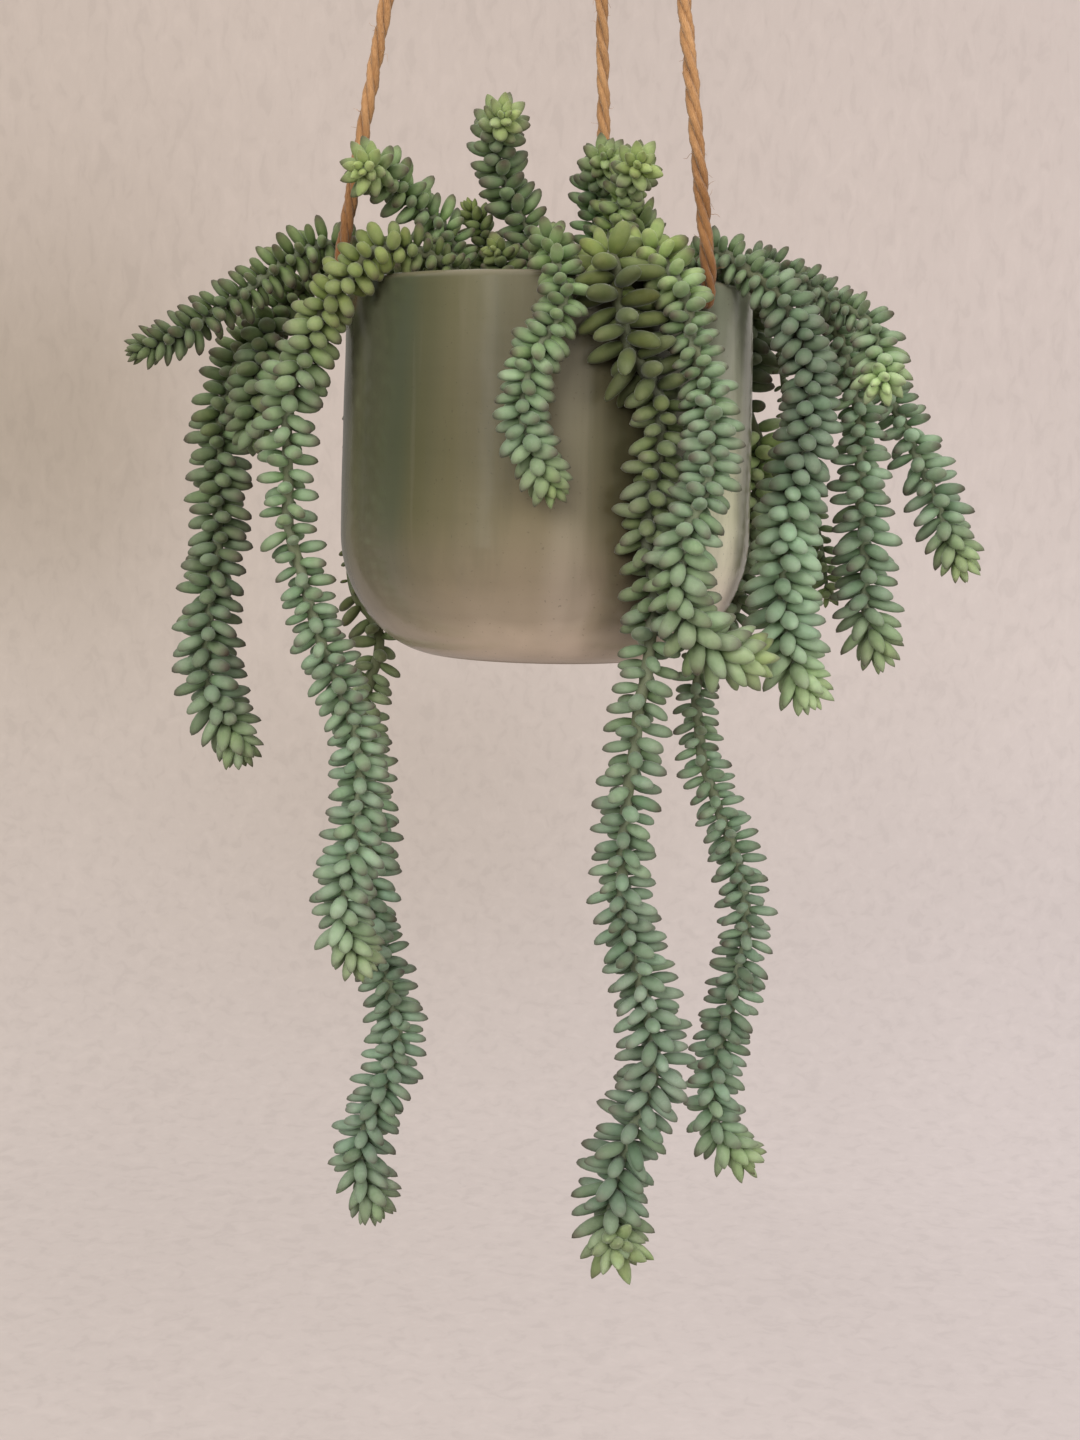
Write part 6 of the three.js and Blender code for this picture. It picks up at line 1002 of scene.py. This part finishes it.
def leaf_arrays(pick, rng):
    """All the leaves in pick as one set of closed lumps."""
    m = len(pick)
    d, T = L["d"][pick], L["T"][pick]
    N = L["N"][pick]
    a = unit(T * 0.97 - N * 0.35)
    a = unit(a - d * (a * d).sum(1)[:, None])
    # a small turn about the leaf's own axis
    w = np.cross(d, a)
    q = rng.normal(0, 0.16, m)[:, None]
    a, w = a * np.cos(q) + w * np.sin(q), w * np.cos(q) - a * np.sin(q)
    ln, W, H = L["length"][pick], L["width"][pick] * 0.5, L["thick"][pick] * 0.5
    bend = L["bend"][pick]
    # some leaves are fuller near the tip, some in the middle
    skew = rng.normal(0, 0.06, m)
    young = L["head"][pick]
    V = np.zeros((m, len(RING_T), SIDES, 3))
    for k, tt in enumerate(RING_T):
        ww = RING_W[k] + (RING_HEAD[k] - RING_W[k]) * young
        c = L["base"][pick] + d * (ln * tt)[:, None] + a * (ln * bend * tt**2)[:, None]
        f = ww * (1 + skew * (tt - 0.5) * 2)
        up = np.where(np.sin(phi) > 0, 0.86, 1.08) * np.sin(phi)
        V[:, k] = c[:, None] + (W * f)[:, None, None] * np.cos(phi)[None, :, None] * w[:, None] + (H * f)[:, None, None] * up[None, :, None] * a[:, None]
    root = L["base"][pick] - d * 0.3
    apex = L["base"][pick] + d * (ln * APEX)[:, None] + a * (ln * (bend + 0.015))[:, None]
    per = len(RING_T) * SIDES + 2
    allv = np.concatenate([V.reshape(m, -1, 3), root[:, None], apex[:, None]], 1)
    one = grid_faces(len(RING_T), SIDES)
    j = np.arange(SIDES)
    r0, r1 = len(RING_T) * SIDES, len(RING_T) * SIDES + 1
    last = (len(RING_T) - 1) * SIDES
    caps = np.vstack([np.stack([np.full(SIDES, r0), (j + 1) % SIDES, j], 1), np.stack([np.full(SIDES, r1), last + j, last + (j + 1) % SIDES], 1)])
    off = (np.arange(m) * per)[:, None, None]
    quads = (one[None] + off).reshape(-1, 4)
    tris = (caps[None] + off).reshape(-1, 3)
    along = np.concatenate([np.repeat(RING_T, SIDES), [0.0, 1.0]])
    data = np.zeros((m, per, 4))
    data[..., 0] = along
    data[..., 1] = L["rnd"][pick][:, None]
    data[..., 2] = L["tip"][pick][:, None]
    data[..., 3] = L["powder"][pick][:, None]
    tint = np.ones((m, per, 4))
    tint[..., :3] = L["tint"][pick][:, None]
    # the leaf's own patch of the map: round it across, along it up
    u0, u1 = j / SIDES, (j + 1) / SIDES
    qa = []
    for k in range(len(RING_T) - 1):
        v0, v1 = 0.06 + 0.88 * RING_T[k], 0.06 + 0.88 * RING_T[k + 1]
        qa.append(np.stack([np.stack([u0, np.full(SIDES, v0)], 1), np.stack([u1, np.full(SIDES, v0)], 1), np.stack([u1, np.full(SIDES, v1)], 1), np.stack([u0, np.full(SIDES, v1)], 1)], 1))
    qa = np.concatenate(qa).reshape(-1, 2)
    low_v, high_v = 0.06, 0.06 + 0.88 * RING_T[-1]
    ta = np.concatenate([
        np.stack([np.stack([(u0 + u1) / 2, np.full(SIDES, 0.0)], 1), np.stack([u1, np.full(SIDES, low_v)], 1), np.stack([u0, np.full(SIDES, low_v)], 1)], 1),
        np.stack([np.stack([(u0 + u1) / 2, np.full(SIDES, 1.0)], 1), np.stack([u0, np.full(SIDES, high_v)], 1), np.stack([u1, np.full(SIDES, high_v)], 1)], 1),
    ]).reshape(-1, 2)
    return allv.reshape(-1, 3), quads, tris, tint.reshape(-1, 4), data.reshape(-1, 4), qa, ta, per


m, n = make_material("leaf")
where = n.add("ShaderNodeTexCoord").outputs["Object"]
tint = n.add("ShaderNodeAttribute", attribute_name="tint").outputs["Color"]
split = n.add("ShaderNodeSeparateColor")
grown_as = n.add("ShaderNodeAttribute", attribute_name="leaf")
n.link(grown_as.outputs["Color"], split.inputs["Color"])
along, lot, tip_brown_and_shade = split.outputs
bloom_less_in_shade = grown_as.outputs["Alpha"]
bloom = n.noise(where, 230.0, 4.0, 0.6, 0.4)
dust = n.noise(where, 1500.0, 3.0, 0.6)
rub = n.noise(where, 95.0, 2.0, 0.5)
body = n.mix(n.curve(bloom, [(0.34, 0.0), (0.62, 1.0)]), n.mix(1.0, tint, (0.80, 0.86, 0.80), "MULTIPLY"), tint)
# painted shade: the pale powder follows the bloom attribute, which is lowered on the shaded side
powder = n.math("MULTIPLY", n.curve(rub, [(0.40, 0.0), (0.66, 0.26)]), n.curve(dust, [(0.30, 0.45), (0.65, 1.0)]))
body = n.mix(n.math("MULTIPLY", powder, bloom_less_in_shade), body, (0.50, 0.56, 0.46))
# painted shade: each leaf darker towards its base, where the leaves crowd round the stem
foot = n.curve(along, [(0.08, 1.0), (0.46, 0.0)], "EASE")
body = n.mix(n.math("MULTIPLY", foot, 0.70), body, n.mix(1.0, tint, (0.46, 0.52, 0.36), "MULTIPLY"))
# a browner outer half and a dark purple-brown point, partly the leaf's own colour and partly painted shade on leaves
# that point sideways or inward
tan = n.math("MULTIPLY", n.curve(along, [(0.40, 0.0), (0.75, 0.55), (1.0, 1.0)]), n.curve(tip_brown_and_shade, [(0.15, 0.0), (0.9, 0.85)]))
body = n.mix(n.math("MULTIPLY", tan, 0.74), body, (0.125, 0.090, 0.070))
end = n.math("MULTIPLY", n.curve(along, [(0.76, 0.0), (0.92, 0.60), (1.0, 1.0)]), n.curve(tip_brown_and_shade, [(0.10, 0.10), (0.7, 1.0)]))
body = n.mix(n.math("MULTIPLY", end, 0.85), body, (0.058, 0.032, 0.028))
# painted shade: the paler leaves follow the same bloom attribute, lowered on the shaded side
pale = n.curve(lot, [(0.0, 0.0), (1.0, 0.14)])
body = n.mix(n.math("MULTIPLY", pale, bloom_less_in_shade), body, (0.44, 0.50, 0.40))
rough = n.math("MULTIPLY_ADD", dust, 0.18, 0.50)
n.surface(body, rough, n.bump(n.math("ADD", n.math("MULTIPLY", dust, 0.3), bloom), 0.22, 0.0005), Specular_IOR_Level=0.30, Subsurface_Weight=0.10, Subsurface_Radius=(0.0022, 0.0030, 0.0014), Subsurface_Scale=1.0, Sheen_Weight=0.20, Sheen_Roughness=0.35)
LEAF = m

WOOD, BARK = np.array((0.20, 0.19, 0.12)), np.array((0.33, 0.37, 0.25))
leaf_count = 0
for name in names:
    if name in BRANCH_OF:
        continue
    grown = [name] + [k for k, v in BRANCH_OF.items() if v == name]
    rng = np.random.default_rng(5000 + names.index(name))
    pick = np.flatnonzero(np.isin(L["stem"], [names.index(k) for k in grown]) & L["keep"])
    leaf_count += len(pick)
    v, quads, tris, tint, data, qa, ta, per = leaf_arrays(pick, rng)
    verts, all_quads, all_tris, tints, datas, quad_uv, tri_uv = [v], [quads], [tris], [tint], [data], [], []
    start = len(v)
    # the map: a square of leaf patches, with a strip above it for the stem
    cells = max(1, math.ceil(math.sqrt(len(pick) / 0.94)))
    cw, ch = 1.0 / cells, 0.94 / math.ceil(len(pick) / cells) if len(pick) else 0.94
    k = np.arange(len(pick))
    corner = np.stack([(k % cells) * cw, (k // cells) * ch], 1)
    shrink, pad = np.array([cw, ch]) * 0.92, np.array([cw, ch]) * 0.04
    quad_uv.append((corner[:, None] + pad + qa[None] * shrink).reshape(-1, 2))
    tri_uv.append((corner[:, None] + pad + ta[None] * shrink).reshape(-1, 2))
    for number, part_name in enumerate(grown):
        plant = plants[part_name]
        line, sides = plant["line"][::2], 8
        if not np.allclose(line[-1], plant["line"][-1]):
            line = np.vstack([line, plant["line"][-1:]])
        t, nn, bb = carried_frames(line)
        ssl = np.r_[0, np.cumsum(np.linalg.norm(np.diff(line, axis=0), axis=1))]
        rad = np.interp(ssl, plant["s"], plant["r"]) * (1 + rng.normal(0, 0.05, len(ssl)))
        ring = np.stack([line + (rad * (1 + 0.08 * math.sin(2.4 * jj)))[:, None] * (math.cos(f) * nn + math.sin(f) * bb) for jj, f in enumerate(2 * math.pi * np.arange(sides) / sides)], 1)
        tube = np.vstack([ring.reshape(-1, 3), line[:1] - t[:1] * 0.3, line[-1:] + t[-1:] * 1.2])
        all_quads.append(grid_faces(len(line), sides, start))
        jj = np.arange(sides)
        first, last = start + len(line) * sides, start + len(line) * sides + 1
        top = start + (len(line) - 1) * sides
        all_tris.append(np.vstack([np.stack([np.full(sides, first), start + (jj + 1) % sides, start + jj], 1), np.stack([np.full(sides, last), top + jj, top + (jj + 1) % sides], 1)]))
        young = np.clip((ssl / ssl[-1]) * 1.3 - 0.1, 0, 1)
        oliveness = interp_rows(ssl, HABIT[part_name], 3)
        stem_tint = WOOD + (BARK - WOOD) * young[:, None]
        stem_tint = stem_tint + (OLIVE * 1.2 - stem_tint) * (oliveness * 0.7)[:, None]
        # painted light and shade: the stem takes its stretch's brightness factor too
        stem_tint *= (0.8 * np.minimum(1.0, interp_rows(ssl, HABIT[part_name], 6)) ** 1.5)[:, None]
        tube_tint = np.ones((len(tube), 4))
        tube_tint[:-2, :3] = np.repeat(stem_tint, sides, axis=0)
        tube_tint[-2, :3], tube_tint[-1, :3] = stem_tint[0], stem_tint[-1]
        tube_data = np.zeros((len(tube), 4))
        tube_data[:, 0] = 0.30
        tube_data[:, 3] = 1.0
        i2, j2 = np.meshgrid(np.arange(len(line) - 1), np.arange(sides), indexing="ij")
        low, tall = 0.95 + 0.045 * number / len(grown), 0.045 / len(grown)
        U0, U1 = 0.01 + 0.98 * ssl[i2] / ssl[-1], 0.01 + 0.98 * ssl[i2 + 1] / ssl[-1]
        V0, V1 = low + tall * j2 / sides, low + tall * (j2 + 1) / sides
        quad_uv.append(np.stack([np.stack([U0, V0], -1), np.stack([U0, V1], -1), np.stack([U1, V1], -1), np.stack([U1, V0], -1)], -2).reshape(-1, 2))
        tri_uv.append(np.tile([[0.002, low], [0.008, low], [0.005, low + tall * 0.9]], (sides, 1)))
        tri_uv.append(np.tile([[0.992, low], [0.998, low], [0.995, low + tall * 0.9]], (sides, 1)))
        verts.append(tube)
        tints.append(tube_tint)
        datas.append(tube_data)
        start += len(tube)
    ob = mesh_object(
        name + "_leafy",
        np.vstack(verts),
        [*all_quads, *all_tris],
        colours={"tint": np.vstack(tints), "leaf": np.vstack(datas)},
        uvs={"OFBake": np.vstack([*quad_uv, *tri_uv])},
    )
    ob.data.materials.append(LEAF)
    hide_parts(name)
print("leaves", leaf_count, "dropped", int((~L["keep"]).sum()))


# ------------------------------------------------------------------ floor, backdrop and light
scene.view_settings.view_transform = "Standard"
profile = [(0.0, -1.50), (1.6, -1.50), (2.2, -1.49)]
profile += [(2.2 + 1.3 * math.sin(a), -1.49 + 1.3 * (1 - math.cos(a))) for a in np.linspace(0.08, math.pi / 2, 16)]
profile += [(3.5, 0.4), (3.5, 1.5), (3.5, 3.2)]
profile = np.array(profile) / MM
sides = 96
az = 2 * math.pi * np.arange(sides) / sides
V = np.vstack([np.stack([max(r, 0.001) * np.sin(az), -max(r, 0.001) * np.cos(az), np.full(sides, z)], 1) for r, z in profile])
backdrop = mesh_object("floor_and_wall", V, [grid_faces(len(profile), sides)[:, ::-1]], body=None)
backdrop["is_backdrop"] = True
for ray in ("diffuse", "glossy", "transmission", "volume_scatter", "shadow"):
    setattr(backdrop, "visible_" + ray, False)
m, n = make_material("plaster")
where = n.add("ShaderNodeTexCoord").outputs["Object"]
grain = n.noise(where, 60.0, 4.0, 0.6)
body = n.ramp(n.noise(where, 1.2, 2.0, 0.5), [(0.3, (0.82, 0.702, 0.654)), (0.7, (0.86, 0.737, 0.687))])
stroke = n.noise(n.scaled(where, (1.0, 1.0, 0.42)), 42.0, 3.0, 0.55, 0.6)  # dabs left by the trowel
body = n.mix(1.0, body, n.curve(stroke, [(0.34, 0.945), (0.46, 0.992), (0.56, 1.0), (0.66, 1.025)]), "MULTIPLY")
split = n.add("ShaderNodeSeparateXYZ")
n.link(where, split.inputs[0])
# painted light and shade on the wall: darker low down and on the left, lighter on the right
down = n.ramp(n.math("MULTIPLY_ADD", split.outputs[2], 0.5, 0.75), [(0.0, (0.945, 0.963, 1.0)), (0.12, (0.935, 0.95, 0.98)), (0.35, (0.975, 0.983, 0.99)), (0.8, (0.97, 0.966, 0.96))])
body = n.mix(1.0, body, down, "MULTIPLY")
across = n.ramp(n.math("MULTIPLY_ADD", split.outputs[0], 0.4, 0.5), [(0.0, (0.945, 0.932, 0.88)), (0.5, (0.97, 0.963, 0.94)), (1.0, (1.03, 1.032, 1.045))])
body = n.mix(1.0, body, across, "MULTIPLY")


def shade(body, x0, z0, wide, tall, depth, left=1.0):
    """A painted soft shadow of the plant on the wall behind it; a smaller left stretches it to that side."""
    u = n.math("MULTIPLY_ADD", split.outputs[0], 1 / wide, -x0 / wide)
    dx = n.math("POWER", n.math("MAXIMUM", u, n.math("MULTIPLY", u, left)), 2.0)
    dz = n.math("POWER", n.math("MULTIPLY_ADD", split.outputs[2], 1 / tall, -z0 / tall), 2.0)
    front = n.math("MULTIPLY", n.math("MAXIMUM", n.math("MULTIPLY", split.outputs[1], -1.0), 0.0), 2.0)
    far = n.math("ADD", n.math("MULTIPLY", n.math("ADD", dx, dz), 0.25), front)
    return n.mix(1.0, body, n.ramp(far, [(at, (1 - part * depth, 1 - 1.06 * part * depth, 1 - 1.28 * part * depth)) for at, part in ((0.0, 1.0), (0.12, 0.62), (0.25, 0.37), (0.5, 0.13), (1.0, 0.0))]), "MULTIPLY")


# two painted shadows of the plant: one on the left of the wall, one low under the pot
body = shade(body, -0.98, -0.38, 0.36, 0.44, 0.26, 0.2)
body = shade(body, -0.28, -1.08, 0.60, 0.36, 0.14)
# painted light: the wall glows with its own colour, painted shadows included, as well as taking the lamps
shader = n.surface(n.mix(1.0, body, (0.4, 0.4, 0.4), "MULTIPLY"), 0.95, n.bump(grain, 0.15, 0.004), Specular_IOR_Level=0.1, Emission_Strength=0.56)
n.link(body, shader.inputs["Emission Color"])
backdrop.data.materials.append(m)

world = bpy.data.worlds.new("room")
scene.world = world
n = Nodes(world)
split = n.add("ShaderNodeSeparateXYZ")
n.link(n.add("ShaderNodeTexCoord").outputs["Generated"], split.inputs[0])
dx, dy, dz = split.outputs
azim = n.math("ARCTAN2", dx, n.math("MULTIPLY", dy, -1.0))  # 0 towards the front, growing towards +X
azim = n.math("MULTIPLY_ADD", azim, 1 / (2 * math.pi), 0.5)
def deg(a):
    return 0.5 + a / 360.0
wall = n.ramp(azim, [(deg(-180), (0.42, 0.38, 0.35)), (deg(-155), (0.30, 0.28, 0.25)), (deg(-130), (0.22, 0.21, 0.18)), (deg(-112), (0.16, 0.18, 0.15)), (deg(-84), (0.13, 0.16, 0.12)), (deg(-66), (0.30, 0.29, 0.22)), (deg(-36), (0.33, 0.31, 0.25)), (deg(-31), (0.55, 0.52, 0.46)), (deg(-24), (0.36, 0.33, 0.29)), (deg(24), (0.34, 0.31, 0.28)), (deg(30), (0.12, 0.11, 0.09)), (deg(54), (0.13, 0.12, 0.10)), (deg(62), (0.40, 0.38, 0.35)), (deg(110), (0.52, 0.49, 0.46)), (deg(180), (0.42, 0.38, 0.35))])
body = n.mix(n.curve(n.math("MULTIPLY_ADD", dz, 0.5, 0.5), [(0.36, 1.0), (0.47, 0.0)], "EASE"), wall, (0.40, 0.345, 0.31))
body = n.mix(n.curve(n.math("MULTIPLY_ADD", dz, 0.5, 0.5), [(0.58, 0.0), (0.80, 1.0)], "EASE"), body, (0.76, 0.75, 0.73))
bg = n.add("ShaderNodeBackground")
n.link(body, bg.inputs["Color"])
bg.inputs["Strength"].default_value = 0.85
n.link(bg.outputs[0], n.out.inputs["Surface"])


def area(name, place, target, size_x, size_y, watts, colour=(1, 1, 1), glossy=True):
    data = bpy.data.lights.new(name, "AREA")
    data.shape, data.size, data.size_y, data.energy, data.color = "RECTANGLE", size_x, size_y, watts, colour
    ob = bpy.data.objects.new(name, data)
    scene.collection.objects.link(ob)
    ob.location = place
    ob.rotation_euler = (Vector(target) - Vector(place)).to_track_quat("-Z", "Y").to_euler()
    ob.visible_camera = False
    ob.visible_glossy = glossy
    return ob


area("key", (-0.8, -2.0, 0.35), (0, 0, -0.5), 1.5, 1.3, 36.0, (1.0, 0.98, 0.95), glossy=False)
area("fill", (1.45, -1.75, -0.2), (0, 0, -0.5), 1.2, 1.2, 23.0, (1.0, 0.97, 0.93), glossy=False)
area("top", (0.1, -0.3, 1.5), (0, 0, -0.4), 1.4, 1.4, 8.0, (1.0, 0.99, 0.97), glossy=False)
area("strip", (-1.35, -2.1, -0.2), (0, 0, -0.45), 0.34, 1.5, 1.0)


low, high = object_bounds()
